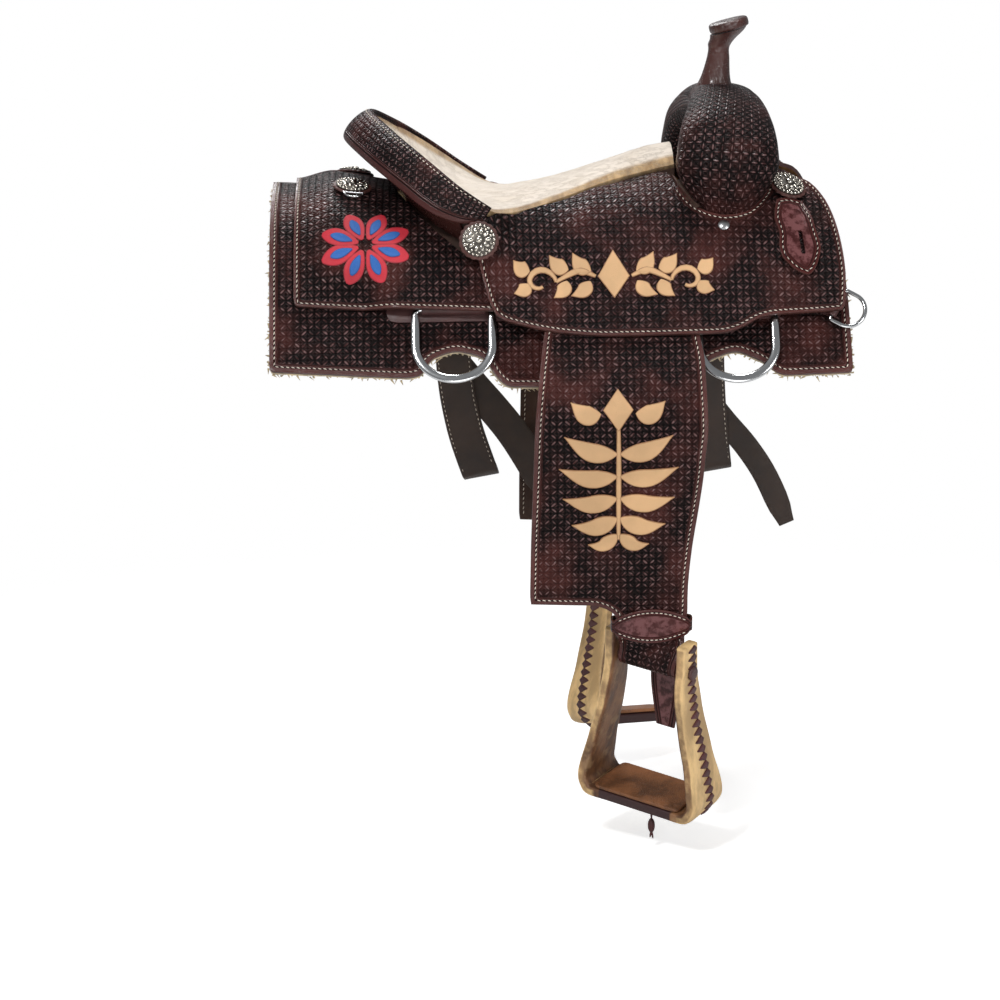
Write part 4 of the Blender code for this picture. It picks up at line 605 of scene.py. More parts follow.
def make_active(piece):
    bpy.ops.object.select_all(action="DESELECT")
    piece.select_set(True)
    bpy.context.view_layer.objects.active = piece


def apply_modifiers(piece):
    make_active(piece)
    for modifier in list(piece.modifiers):
        bpy.ops.object.modifier_apply(modifier=modifier.name)


def edit(piece, *steps):
    """Run edit-mode operators on all of a piece."""
    make_active(piece)
    bpy.ops.object.mode_set(mode="EDIT")
    bpy.ops.mesh.select_all(action="SELECT")
    for step, options in steps:
        step(**options)
    bpy.ops.object.mode_set(mode="OBJECT")


merge_doubles = (bpy.ops.mesh.remove_doubles, {"threshold": 0.00001})
normals_out = (bpy.ops.mesh.normals_make_consistent, {"inside": False})


def shade(piece, degrees=40.0):
    make_active(piece)
    bpy.ops.object.shade_smooth_by_angle(angle=math.radians(degrees))


def grid(name, points, uvs, rows, columns, edges=None):
    """A grid primitive shaped point by point; its UV map holds metres over the leather."""
    bpy.ops.object.select_all(action="DESELECT")
    bpy.ops.mesh.primitive_grid_add(x_subdivisions=columns - 1, y_subdivisions=rows - 1, size=1.0)
    piece = bpy.context.active_object
    piece.name = name
    data = piece.data
    data.name = name
    flat = np.zeros(len(data.vertices) * 3)
    data.vertices.foreach_get("co", flat)
    flat = flat.reshape(-1, 3)
    column = np.rint((flat[:, 0] + 0.5) * (columns - 1)).astype(int)
    row = np.rint((0.5 - flat[:, 1]) * (rows - 1)).astype(int)
    order = row * columns + column
    data.vertices.foreach_set("co", np.array([tuple(p) for p in points], float)[order].ravel())
    corner = np.zeros(len(data.loops), int)
    data.loops.foreach_get("vertex_index", corner)
    places = np.array([tuple(p)[:2] for p in uvs], float)[order][corner]
    data.uv_layers[0].data.foreach_set("uv", places.ravel())
    if edges is not None:
        held = data.attributes.new("edge", "FLOAT", "POINT")
        held.data.foreach_set("value", np.array(edges, np.float32)[order])
    data.update()
    return piece


def face_out(piece, outward):
    """Turn an open sheet so that its middle face looks along outward."""
    polygons = piece.data.polygons
    if polygons[len(polygons) // 2].normal.dot(outward) < 0.0:
        edit(piece, (bpy.ops.mesh.flip_normals, {}))


def bevel_edges(piece, width, segments, degrees):
    bevel = piece.modifiers.new("edge", "BEVEL")
    bevel.width = width
    bevel.segments = segments
    bevel.limit_method = "ANGLE"
    bevel.angle_limit = math.radians(degrees)


def thicken(piece, thickness, edge_round, names, segments=3):
    """Give a sheet its thickness inwards, its finishes, and a rounded cut edge."""
    for name in names:
        piece.data.materials.append(finishes[name])
    solid = piece.modifiers.new("thickness", "SOLIDIFY")
    solid.thickness = thickness
    solid.offset = -1.0
    solid.use_quality_normals = True
    if len(names) > 1:
        solid.material_offset_rim = 1
        solid.material_offset = len(names) - 1
    if edge_round:
        bevel_edges(piece, edge_round, segments, 50.0)
    apply_modifiers(piece)
    shade(piece)
    return piece


def settle(piece, node, *replaced, slot=None):
    """Let a finished piece ride with a node's body, and stand for the nodes it replaces."""
    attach(piece, nodes[node]["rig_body"])
    if replaced:
        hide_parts(*replaced)


def paint(node, finish):
    """Give its finish to a CAD node that stays."""
    nodes[node].data.materials.clear()
    nodes[node].data.materials.append(finishes[finish])


def refinish(node, edge_round, finish, segments=3):
    """Let a merged copy of a CAD node, its edges rounded, stand for the node."""
    piece = nodes[node].copy()
    piece.data = nodes[node].data.copy()
    piece.name = node + "_finished"
    piece.parent = None
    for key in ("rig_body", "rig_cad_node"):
        if key in piece:
            del piece[key]
    bpy.context.scene.collection.objects.link(piece)
    piece.data.materials.clear()
    edit(piece, merge_doubles, (bpy.ops.mesh.dissolve_limited, {"angle_limit": math.radians(1.0)}))
    bevel_edges(piece, edge_round, segments, 40.0)
    apply_modifiers(piece)
    shade(piece)
    piece.data.materials.append(finishes[finish])
    settle(piece, node, node)


def template(make):
    """Vertices and faces of a primitive, which is removed again."""
    bpy.ops.object.select_all(action="DESELECT")
    make()
    piece = bpy.context.active_object
    points = np.array([v.co[:] for v in piece.data.vertices])
    faces = [tuple(p.vertices) for p in piece.data.polygons]
    bpy.data.objects.remove(piece)
    return points, faces


def bead_form(segments, rings):
    return template(lambda: bpy.ops.mesh.primitive_uv_sphere_add(segments=segments, ring_count=rings,
                                                                 radius=1.0))


def copies(name, form, frames, finish):
    """One mesh of copies of a form, one for each frame of (origin, x axis, y axis, z axis)."""
    base, faces = form
    all_points = []
    all_faces = []
    for k, (origin, *axes) in enumerate(frames):
        turn = np.array([tuple(axis) for axis in axes])
        all_points.append(base @ turn + np.array(tuple(origin)))
        all_faces += [tuple(k * len(base) + i for i in face) for face in faces]
    data = bpy.data.meshes.new(name)
    data.from_pydata(np.concatenate(all_points), [], all_faces)
    piece = bpy.data.objects.new(name, data)
    bpy.context.scene.collection.objects.link(piece)
    data.shade_smooth()
    data.materials.append(finishes[finish])
    return piece


def distances(points, runs):
    """Distance of each flat point to the nearest of some runs."""
    flat = np.array([(p[0], p[1]) for p in points])
    best = np.full(len(flat), 1.0)
    for run in runs:
        line = np.array([(p[0], p[1]) for p in run])
        for a, b in zip(line, line[1:]):
            way = b - a
            size = max(float(way @ way), 1e-14)
            share = np.clip((flat - a) @ way / size, 0.0, 1.0)
            near = a + share[:, None] * way
            best = np.minimum(best, np.hypot(*(flat - near).T))
    return best


def placed(surface, place, side):
    """Point, across, down and outward directions of a leather's face at a flat place."""
    x, v = place[0], place[1]
    step = 0.0008
    along = (surface(x + step, v) - surface(x - step, v)).normalized()
    down = (surface(x, v + step) - surface(x, v - step)).normalized()
    out = along.cross(down).normalized()
    return [mirror(p, side) for p in (surface(x, v), along, down, out)]


def leather_sheet(name, side, surface, runs, columns, rows, thickness, names, borders, edge_round=0.0013):
    """A leather cut to four border runs and laid on a surface."""
    pattern = patch(*runs, columns, even(rows))
    points = [mirror(surface(p[0], p[1]), side) for p in pattern]
    uvs = [(p[0] * side, -p[1]) for p in pattern]
    piece = grid(name, points, uvs, rows, columns, distances(pattern, borders))
    face_out(piece, Vector((0.0, side, 0.3)))
    return thicken(piece, thickness, edge_round, names)


def leather_names(face="tooled", back="flesh_dark"):
    """Finishes of a leather's face, cut edge and back."""
    return [face, "burnished", back]


def run_length(run):
    return sum((b - a).length for a, b in zip(run, run[1:]))


def inset_run(run, inset, borders, inward):
    """Places at a distance inside a run, kept where no border is nearer."""
    fine = spaced(run, max(int(run_length(run) / 0.0012), 8))
    places = []
    for before, after in zip(fine, fine[1:]):
        way = (after - before).normalized()
        places.append((before + after) / 2 + Vector((-way.y, way.x)) * inset * inward)
    near = distances(places, borders)
    return [p for p, d in zip(places, near) if d > inset * 0.985]


def stitch_on(line, k, count):
    """Middle and direction of one of count stitches along a line."""
    a, b = (at_share(line, (k + end) / count) for end in (0.2, 0.8))
    return (a + b) / 2, (b - a).normalized()


def stitch_places(run):
    """Middles and directions of stitches along a run, broken where the run jumps."""
    pieces = [[run[0]]]
    for a, b in zip(run, run[1:]):
        if (b - a).length > 0.006:
            pieces.append([])
        pieces[-1].append(b)
    out = []
    for part in pieces:
        if len(part) > 2:
            count = max(int(round(run_length(part) / look().pitch)), 1)
            out += [stitch_on(part, k, count) for k in range(count)]
    return out


def seam(side, surface, run, inset, borders, inward, width=0.0012):
    """Frames of the slanted stitches along a run, at an inset."""
    frames = []
    places = inset_run(run, inset, borders, inward)
    if len(places) < 3:
        return frames
    for place, way in stitch_places(places):
        point, along, down, out = placed(surface, place, side)
        tangent = (along * way.x + down * way.y).normalized()
        tangent = (tangent + out.cross(tangent) * 0.28 * side).normalized()
        frames.append((point + out * width * 0.1, tangent * (look().pitch * 0.72 / 2),
                       out.cross(tangent) * width / 2, out * width * 0.42))
    return frames


def border_seams(side, surface, runs, picks, inset, borders, width=0.0012):
    """Seams along the picked ones of a leather's top, bottom, rear and front runs."""
    frames = []
    for pick in picks:
        inward = (1.0, -1.0, -1.0, 1.0)[pick]
        frames += seam(side, surface, runs[pick], inset, borders, inward, width)
    return frames


def stitches(name, node, frames):
    settle(copies(name, bead_form(6, 4), frames, "thread"), node)


def blade(surface, spine, widths, side, finish, height, columns, rows=7):
    """An overlay cut round a spine: its half width at each share of the way is given by widths."""
    line = spaced([Vector(p) for p in spine], columns)
    points = []
    uvs = []
    edge = []
    for j in range(rows):
        w = 2.0 * j / (rows - 1) - 1.0
        for k in range(columns):
            way = (line[min(k + 1, columns - 1)] - line[max(k - 1, 0)]).normalized()
            half = max(widths(k / (columns - 1)), 0.0001)
            place = line[k] + Vector((-way.y, way.x)) * w * half
            base, _, _, out = placed(surface, place, side)
            points.append(base + out * height * (0.62 if j == rows // 2 and half > 0.004 else 1.0))
            uvs.append((place.x * side, -place.y))
            edge.append(min(half * (1.0 - abs(w)), 0.02))
    piece = grid("blade", points, uvs, rows, columns, edge)
    face_out(piece, placed(surface, line[columns // 2], side)[3])
    return thicken(piece, height + 0.0004, 0.0004, [finish], 2)


def merge_pieces(name, pieces):
    bpy.ops.object.select_all(action="DESELECT")
    for piece in pieces:
        piece.select_set(True)
    bpy.context.view_layer.objects.active = pieces[0]
    bpy.ops.object.join()
    merged = bpy.context.active_object
    merged.name = name
    merged.data.name = name
    return merged


def overlay(name, node, surface, shapes, side, finish="overlay", height=0.0012, columns=25):
    """Overlay of (spine, widths) shapes, cut as one piece."""
    blades = [blade(surface, spine, widths, side, finish, height, columns) for spine, widths in shapes]
    settle(merge_pieces(name, blades), node)


def leaf_of(half_width):
    """Widths of a leaf that is fullest before its middle and pointed at its end."""
    return lambda t: half_width * math.sin(math.pi * t ** 0.75) ** 1.15 + 0.0004


def diamond_of(half_width):
    return lambda t: half_width * (1.0 - abs(2.0 * t - 1.0)) + 0.0003


def stem_of(half_width, swell):
    return lambda t: half_width + swell * math.sin(math.pi * t)


def close_holes(piece):
    make_active(piece)
    bpy.ops.object.mode_set(mode="EDIT")
    bpy.ops.mesh.select_all(action="DESELECT")
    bpy.ops.mesh.select_mode(type="EDGE")
    bpy.ops.mesh.select_non_manifold(extend=False)
    bpy.ops.mesh.edge_face_add()
    bpy.ops.mesh.select_mode(type="VERT")
    bpy.ops.object.mode_set(mode="OBJECT")


def skin(name, points, uvs, rows, columns, edges, finish, capped, degrees):
    """A grid of points closed to a solid: doubles merged, ends capped, normals outwards."""
    piece = grid(name, points, uvs, rows, columns, edges)
    piece.data.materials.append(finishes[finish])
    edit(piece, merge_doubles)
    if capped:
        close_holes(piece)
    edit(piece, normals_out)
    shade(piece, degrees)
    return piece


def sweep(name, frames, section, ring, finish):
    """A strap: a section of (across, through) shares carried along frames, closed or capped."""
    columns = len(section) + 1
    rows = len(frames) + (1 if ring else 0)
    points = []
    uvs = []
    edge = []
    length = 0.0
    for i in range(rows):
        centre, across, through_way = frames[i % len(frames)]
        if i:
            length += (centre - frames[(i - 1) % len(frames)][0]).length
        half = across.length
        for j in range(columns):
            a, b = section[j % len(section)]
            points.append(centre + across * a + through_way * b)
            uvs.append((a * half, length))
            edge.append(half * (1.0 - abs(a)))
    return skin(name, points, uvs, rows, columns, edge, finish, not ring, 50.0)


def strap_section(corner=0.42, flat=6):
    """Section shares of a strap with softly rounded edges."""
    run = []
    for side_sign, through_sign in ((1, 1), (1, -1), (-1, -1), (-1, 1)):
        turns = ((0.0, 1.0), (0.5, 0.85), (0.85, 0.5), (1.0, 0.0))
        for t, u in turns if side_sign * through_sign > 0 else reversed(turns):
            run.append((side_sign * (1.0 - 0.035 * (1.0 - t)), through_sign * (1.0 - corner * (1.0 - u))))
    top = [(mix(run[-1][0], run[0][0], k / flat), run[0][1]) for k in range(1, flat)]
    under = [(mix(run[7][0], run[8][0], k / flat), run[7][1]) for k in range(1, flat)]
    return run[:8] + under + run[8:] + top


def mirrored(frames, side):
    return [tuple(mirror(v, side) for v in frame_) for frame_ in frames]


def dense_frames(frames, per_span, ring=False):
    """Frames of (centre, across, through) filled in smoothly."""
    columns = []
    for part in range(3):
        points = [frame_[part] for frame_ in frames]
        if ring:
            points = points[-2:] + points + points[:2]
        filled = through(points, per_span)
        if ring:
            filled = filled[2 * per_span:-2 * per_span][:len(frames) * per_span]
        columns.append(filled)
    return list(zip(*columns))


def dense_rings(rings, per_span):
    """Rings of points with smooth rings filled in between."""
    lines = [through([ring[j] for ring in rings], per_span) for j in range(len(rings[0]))]
    return [[line[i] for line in lines] for i in range(len(lines[0]))]


def lofted(name, rings, finish, edges=None):
    """A closed skin over rings of points, with metres along and round as its UV map."""
    columns = len(rings[0]) + 1
    points = []
    uvs = []
    middle = rings[len(rings) // 2]
    round_lengths = [0.0]
    for j in range(1, columns):
        round_lengths.append(round_lengths[-1] + (middle[j % len(middle)] - middle[j - 1]).length)
    length = 0.0
    for i, ring in enumerate(rings):
        if i:
            before = sum(rings[i - 1], Vector()) / len(ring)
            length += (sum(ring, Vector()) / len(ring) - before).length
        for j in range(columns):
            points.append(ring[j % len(ring)])
            uvs.append((round_lengths[j], length))
    return skin(name, points, uvs, len(rings), columns, edges, finish, True, 55.0)


def circle(count):
    """Cosines and sines of angles set evenly round a turn."""
    return [(math.cos(a), math.sin(a)) for a in (2.0 * math.pi * j / count for j in range(count))]


def side_frame(side, x, v, surface, gap=0.0, turn=0.0, step=0.004):
    """Matrix of a place on a leather's face: X along the horse, Y down the side, Z outwards."""
    along = surface(x + step, v) - surface(x - step, v)
    down = surface(x, v + step) - surface(x, v - step)
    out = along.cross(down).normalized()
    down = out.cross(along).normalized()
    point = mirror(surface(x, v) + out * gap, side)
    out, down = mirror(out, side), mirror(down, side)
    frame_ = Matrix((down.cross(out), down, out)).transposed() @ Matrix.Rotation(turn * side, 3, "Z")
    return Matrix.Translation(point) @ frame_.to_4x4()


# Node helpers

class Field:
    """A value that changes over a surface. Each sign of arithmetic adds a Math node."""

    def __init__(self, tree, socket):
        self.tree = tree
        self.socket = socket

    def __add__(self, other):
        return calc("ADD", self, other)

    def __sub__(self, other):
        return calc("SUBTRACT", self, other)

    def __rsub__(self, other):
        return calc("SUBTRACT", other, self)

    def __mul__(self, other):
        return calc("MULTIPLY", self, other)

    def __truediv__(self, other):
        return calc("DIVIDE", self, other)

    def __abs__(self):
        return calc("ABSOLUTE", self)

    def to(self, *sockets):
        for socket in sockets:
            self.tree.links.new(self.socket, socket)


def feed(socket, value):
    if isinstance(value, Field):
        value.to(socket)
    elif isinstance(value, tuple) and len(value) == 3 and len(socket.default_value) == 4:
        socket.default_value = (*value, 1.0)
    else:
        socket.default_value = value


def add_node(tree, kind, inputs=(), **settings):
    """A shader node with its settings made and its inputs fed."""
    made = tree.nodes.new("ShaderNode" + kind)
    for key, value in settings.items():
        setattr(made, key, value)
    for key, value in dict(inputs).items():
        feed(made.inputs[key], value)
    return made


def field_of(tree, kind, inputs=(), output=0, **settings):
    return Field(tree, add_node(tree, kind, inputs, **settings).outputs[output])


def calc(operation, *values, clamp=False):
    tree = next(value.tree for value in values if isinstance(value, Field))
    return field_of(tree, "Math", enumerate(values), operation=operation, use_clamp=clamp)


def blend(factor, a, b):
    return field_of(factor.tree, "Mix", {0: factor, 6: a, 7: b}, 2, data_type="RGBA")


def ramp(value, low, high, to_low=0.0, to_high=1.0):
    return field_of(value.tree, "MapRange", enumerate((value, low, high, to_low, to_high)),
                    interpolation_type="SMOOTHSTEP")


def noise_of(vector, scale, detail=3.0, roughness=0.55, stretch=None):
    if stretch:
        vector = field_of(vector.tree, "Mapping", {"Vector": vector, "Scale": stretch})
    return field_of(vector.tree, "TexNoise", {"Vector": vector, "Scale": scale, "Detail": detail,
                                              "Roughness": roughness}, "Fac")


def coordinates(tree, kind="Object"):
    return field_of(tree, "TexCoord", output=kind)


def attribute(tree, name):
    return field_of(tree, "Attribute", output="Fac", attribute_name=name)


def new_group(name, inputs, outputs):
    """The fields that enter a new node group, and the sockets by which it is left."""
    group = bpy.data.node_groups.new(name, "ShaderNodeTree")
    for title, default in inputs.items():
        kind = "NodeSocketVector" if default is None else "NodeSocketFloat"
        socket = group.interface.new_socket(title, in_out="INPUT", socket_type=kind)
        if default is not None:
            socket.default_value = default
    for title in outputs:
        group.interface.new_socket(title, in_out="OUTPUT", socket_type="NodeSocketFloat")
    entry = group.nodes.new("NodeGroupInput").outputs
    leave = group.nodes.new("NodeGroupOutput").inputs
    return {title: Field(group, entry[title]) for title in inputs}, leave


def use_group(tree, name, **values):
    made = add_node(tree, "Group", values, node_tree=bpy.data.node_groups[name])
    return {socket.name: Field(tree, socket) for socket in made.outputs}


def build_groups():
    """Effects that more than one finish uses."""
    entry, leave = new_group("basket_stamp", {"Vector": None, "Across": 0.015, "Down": 0.014},
                             ("Height", "Strike"))
    where = entry["Vector"]
    apart = add_node(where.tree, "SeparateXYZ", {0: where}).outputs
    sway = noise_of(where, 55.0, 2.0) - 0.5
    u = sway * 0.45 + Field(where.tree, apart[0]) / (entry["Across"] * 0.5)
    v = sway * -0.45 + Field(where.tree, apart[1]) / (entry["Down"] * 0.5)
    column, row = calc("FLOOR", u), calc("FLOOR", v)
    in_u, in_v = u - column - 0.5, v - row - 0.5
    way = calc("FLOORED_MODULO", column + row, 2.0) * 2.0 - 1.0
    ribs = calc("COSINE", (in_u * way + in_v) * (6.2832 * 1.5))
    dome = calc("MAXIMUM", (in_u * in_u + in_v * in_v) * -2.0 + 1.0, 0.0)
    (dome * (ribs * 0.22 + 0.78)).to(leave["Height"])
    cell = field_of(where.tree, "CombineXYZ", {0: column, 1: row})
    strike = field_of(where.tree, "TexWhiteNoise", {"Vector": cell}, "Value", noise_dimensions="2D")
    strike.to(leave["Strike"])

    entry, leave = new_group("leather_grain", {"Vector": None, "Scale": 900.0},
                             ("Height", "Mottle", "Wear"))
    where = entry["Vector"]
    cells = field_of(where.tree, "TexVoronoi", entry, "Distance", feature="DISTANCE_TO_EDGE")
    ramp(cells, 0.02, 0.22).to(leave["Height"])
    noise_of(where, 14.0, 5.0).to(leave["Mottle"])
    noise_of(where, 95.0, 4.0, 0.65).to(leave["Wear"])

    entry, leave = new_group("edge_band", {"Edge": 1.0, "Border": 0.009, "Seam": 0.005},
                             ("Field", "Groove", "Seat"))
    inside = entry["Edge"] - entry["Border"]
    ramp(inside, 0.0006, 0.0016).to(leave["Field"])
    ramp(abs(inside), 0.0002, 0.0009, 1.0, 0.0).to(leave["Groove"])
    ramp(abs(entry["Edge"] - entry["Seam"]), 0.0002, 0.0012, 1.0, 0.0).to(leave["Seat"])


# Finishes

finishes = {}


def new_finish(name, colour, roughness, metallic=0.0, **sockets):
    made = bpy.data.materials.new(name)
    made.use_nodes = True
    made.diffuse_color = (*colour, 1.0)
    finishes[name] = made
    shader = made.node_tree.nodes["Principled BSDF"]
    sockets.update(Base_Color=colour, Roughness=roughness, Metallic=metallic)
    for key, value in sockets.items():
        feed(shader.inputs[key.replace("_", " ")], value)
    return made.node_tree, shader


def tint(colour, *gains):
    """Colour times one gain for all channels, or one for each."""
    gains = gains if len(gains) == 3 else gains * 3
    return tuple(min(c * k, 1.0) for c, k in zip(colour, gains))


def bump(shader, height, distance):
    relief = field_of(height.tree, "Bump", {"Strength": 1.0, "Distance": distance, "Height": height})
    relief.to(shader.inputs["Normal"], shader.inputs["Coat Normal"])


def grain_of(tree, scale=900.0):
    return use_group(tree, "leather_grain", Vector=coordinates(tree), Scale=scale)


def grain_bump(shader, grain, distance):
    bump(shader, grain["Wear"] * 0.9 + grain["Height"] * 0.35, distance)


def tooled_finish(name, base, stamp=1.0, border=0.0086, inset=0.0056, across=None, down=None,
                  depth=0.0032, gloss=0.15, turn=0.0):
    """Stamped leather: woven tooling inside a plain stitched border."""
    hollow_dye_and_shade = tuple(look().hollow_dye_and_shade)
    tree, shader = new_finish(name, base, gloss, Specular_IOR_Level=0.1, Coat_Roughness=0.2)
    grain = grain_of(tree)
    edge = attribute(tree, "edge")
    band = use_group(tree, "edge_band", Edge=edge, Border=border, Seam=inset)
    place = field_of(tree, "Mapping", {"Vector": coordinates(tree, "UV"), "Rotation": (0.0, 0.0, turn)})
    woven = use_group(tree, "basket_stamp", Vector=place, Across=across or look().stamp_across,
                      Down=down or look().stamp_down)
    struck = woven["Height"] * (woven["Strike"] * 0.3 + 0.72) * stamp + 0.9 * (1.0 - stamp)
    raised = struck * band["Field"]
    rim = 1.0 - band["Field"]
    height = rim * 0.8 + raised - band["Groove"] * 0.6 - band["Seat"] * 0.4
    bump(shader, grain["Wear"] * 0.1 + (grain["Height"] * 0.03 + height), depth)
    # Hollows, grooves and stitch seats darkened by height: antique dye and painted shade.
    tone = calc("ADD", grain["Wear"] * 0.5, height * 1.55 - 0.88, clamp=True)
    colour = blend(tone, hollow_dye_and_shade, base)
    warm = tint(base, 1.7, 1.3, 1.15)
    colour = blend(ramp(grain["Mottle"], 0.45, 0.72) * 0.45, colour, warm)
    # Worn raised tops lightened: real wear, and a painted highlight on the crests.
    crest_wear_and_highlight = ramp(raised, 0.54, 0.86) * ramp(grain["Wear"], 0.38, 0.6)
    colour = blend(crest_wear_and_highlight * 0.75, colour, tint(base, 3.0, 4.6, 4.8))
    colour = blend(rim * 0.25, colour, warm)
    # Stitch seats painted dark: painted shade in the seam's groove.
    colour = blend(band["Seat"] * 0.8, colour, hollow_dye_and_shade)
    colour = blend(ramp(edge, 0.0004, 0.0016, 1.0, 0.0) * 0.55, colour, tuple(look().burnish))
    colour.to(shader.inputs["Base Color"])
    dull = grain["Wear"] * 0.26 + (gloss - 0.12) + (1.0 - height) * 0.45
    dull.to(shader.inputs["Roughness"])
    polish = calc("MULTIPLY", ramp(height, 0.35, 0.85), grain["Wear"] * 1.1 - 0.08, clamp=True)
    polish.to(shader.inputs["Coat Weight"])


def plain_leather(name, base, roughness, depth=0.0003, scale=900.0, variation=0.35, **sockets):
    """Smooth leather with its grain, mottling and rubbed places."""
    tree, shader = new_finish(name, base, roughness, **sockets)
    grain = grain_of(tree, scale)
    light = tint(base, 1.0 + variation)
    colour = blend(ramp(grain["Mottle"], 0.35, 0.68), tint(base, 1.0 - variation), light)
    colour = blend(ramp(grain["Wear"], 0.4, 0.7) * 0.35, colour, light)
    colour.to(shader.inputs["Base Color"])
    grain_bump(shader, grain, depth)
    (grain["Wear"] * 0.26 + (roughness - 0.12)).to(shader.inputs["Roughness"])


def overlay_finish(name, base, rubbed):
    """Cut leather, burnished along its edge."""
    tree, shader = new_finish(name, base, 0.55)
    grain = grain_of(tree, 600.0)
    colour = blend(ramp(grain["Mottle"], 0.35, 0.7), tint(base, 0.84), tint(base, 1.08))
    rim = ramp(grain["Wear"] * 0.0012 + attribute(tree, "edge"), 0.0008, 0.0022, 1.0, 0.0)
    blend(rim * 0.8, colour, rubbed).to(shader.inputs["Base Color"])
    grain_bump(shader, grain, 0.0004)
    (grain["Wear"] * 0.26 + 0.44).to(shader.inputs["Roughness"])


def metal_finish(name, base, roughness, scratch=0.06, dirt=None):
    """Polished or brushed metal with fine scratches."""
    tree, shader = new_finish(name, base, roughness, 1.0)
    where = coordinates(tree)
    smear = noise_of(where, 24.0, 3.0)
    (smear * (scratch * 2.0) + (roughness - scratch)).to(shader.inputs["Roughness"])
    if dirt:
        blend(ramp(smear, 0.35, 0.75), base, dirt).to(shader.inputs["Base Color"])
    bump(shader, noise_of(where, 60.0, 6.0, 0.7, (1.0, 1.0, 9.0)), 0.00006)


def suede_finish(base):
    """Roughout with soft creases and nap: ivory on top as a painted highlight, darker gold and streaked down
    its sides, partly as painted shade.
    """
    tree, shader = new_finish("suede", base, 0.92, Sheen_Weight=0.35, Sheen_Roughness=0.5)
    where = coordinates(tree)
    nap = noise_of(where, 900.0, 2.0, 0.7)
    cloud = noise_of(where, 22.0, 5.0, 0.62)
    crease = noise_of(where, 60.0, 6.0, 0.7, (0.8, 1.3, 1.0))
    line = ramp(abs(crease - 0.5), 0.0, 0.05, 1.0, 0.0)
    streak = noise_of(where, 70.0, 4.0, 0.6, (1.0, 0.25, 0.25))
    # Top painted pale ivory as a painted highlight; sides darker gold, partly painted shade.
    top = ramp((cloud - 0.5) * 0.012 + attribute(tree, "edge"), 0.012, 0.022)
    side_gold_and_shade = blend(ramp(streak, 0.35, 0.65), tint(base, 0.44, 0.32, 0.2), tint(base, 0.86, 0.74, 0.58))
    colour = blend(top, side_gold_and_shade, tint(base, 1.2, 1.36, 1.8))
    colour = blend(ramp(cloud, 0.42, 0.7) * 0.22, colour, tint(base, 0.8))
    # Crease lines painted darker as painted shade.
    blend(line * 0.16, colour, tint(base, 0.45)).to(shader.inputs["Base Color"])
    bump(shader, nap * 0.1 + cloud * 0.8 - line * 0.3, 0.0012)


def wool_finish(base):
    """Sheepskin, painted darker between its locks as painted shade."""
    tree, shader = new_finish("wool", base, 0.95, Sheen_Weight=0.4)
    where = coordinates(tree)
    lock = noise_of(where, 120.0, 5.0, 0.7)
    # Darker where the locks dip: painted shade between the locks.
    colour = blend(ramp(lock, 0.35, 0.68), tint(base, 0.55), tint(base, 1.25))
    colour = blend(noise_of(where, 16.0, 3.0) * 0.35, colour, tint(base, 0.7))
    colour.to(shader.inputs["Base Color"])
    bump(shader, lock, 0.0022)


def rawhide_finish(base):
    """Stirrup's hide: golden outside, brown where the foot rubs, streaked and dented."""
    tree, shader = new_finish("stirrup_hide", base, 0.42)
    where = coordinates(tree)
    streak = noise_of(where, 30.0, 6.0, 0.66, (1.0, 1.0, 0.35))
    blot = noise_of(where, 60.0, 4.0, 0.6)
    outer = blend(ramp(streak, 0.36, 0.66), tint(base, 0.62), tint(base, 1.22))
    worn = blend(ramp(streak, 0.38, 0.66), (0.085, 0.036, 0.018), (0.3, 0.14, 0.06))
    worn = blend(ramp(blot, 0.5, 0.72) * 0.6, worn, (0.42, 0.26, 0.13))
    inside = attribute(tree, "inside")
    colour = blend(ramp((blot - 0.5) * 0.5 + inside, 0.35, 0.65), outer, worn)
    blend(ramp(inside, 1.2, 1.7), colour, (0.046, 0.018, 0.018)).to(shader.inputs["Base Color"])
    (blot * 0.34 + 0.28).to(shader.inputs["Roughness"])
    bump(shader, blot * 0.6 + streak, 0.0012)


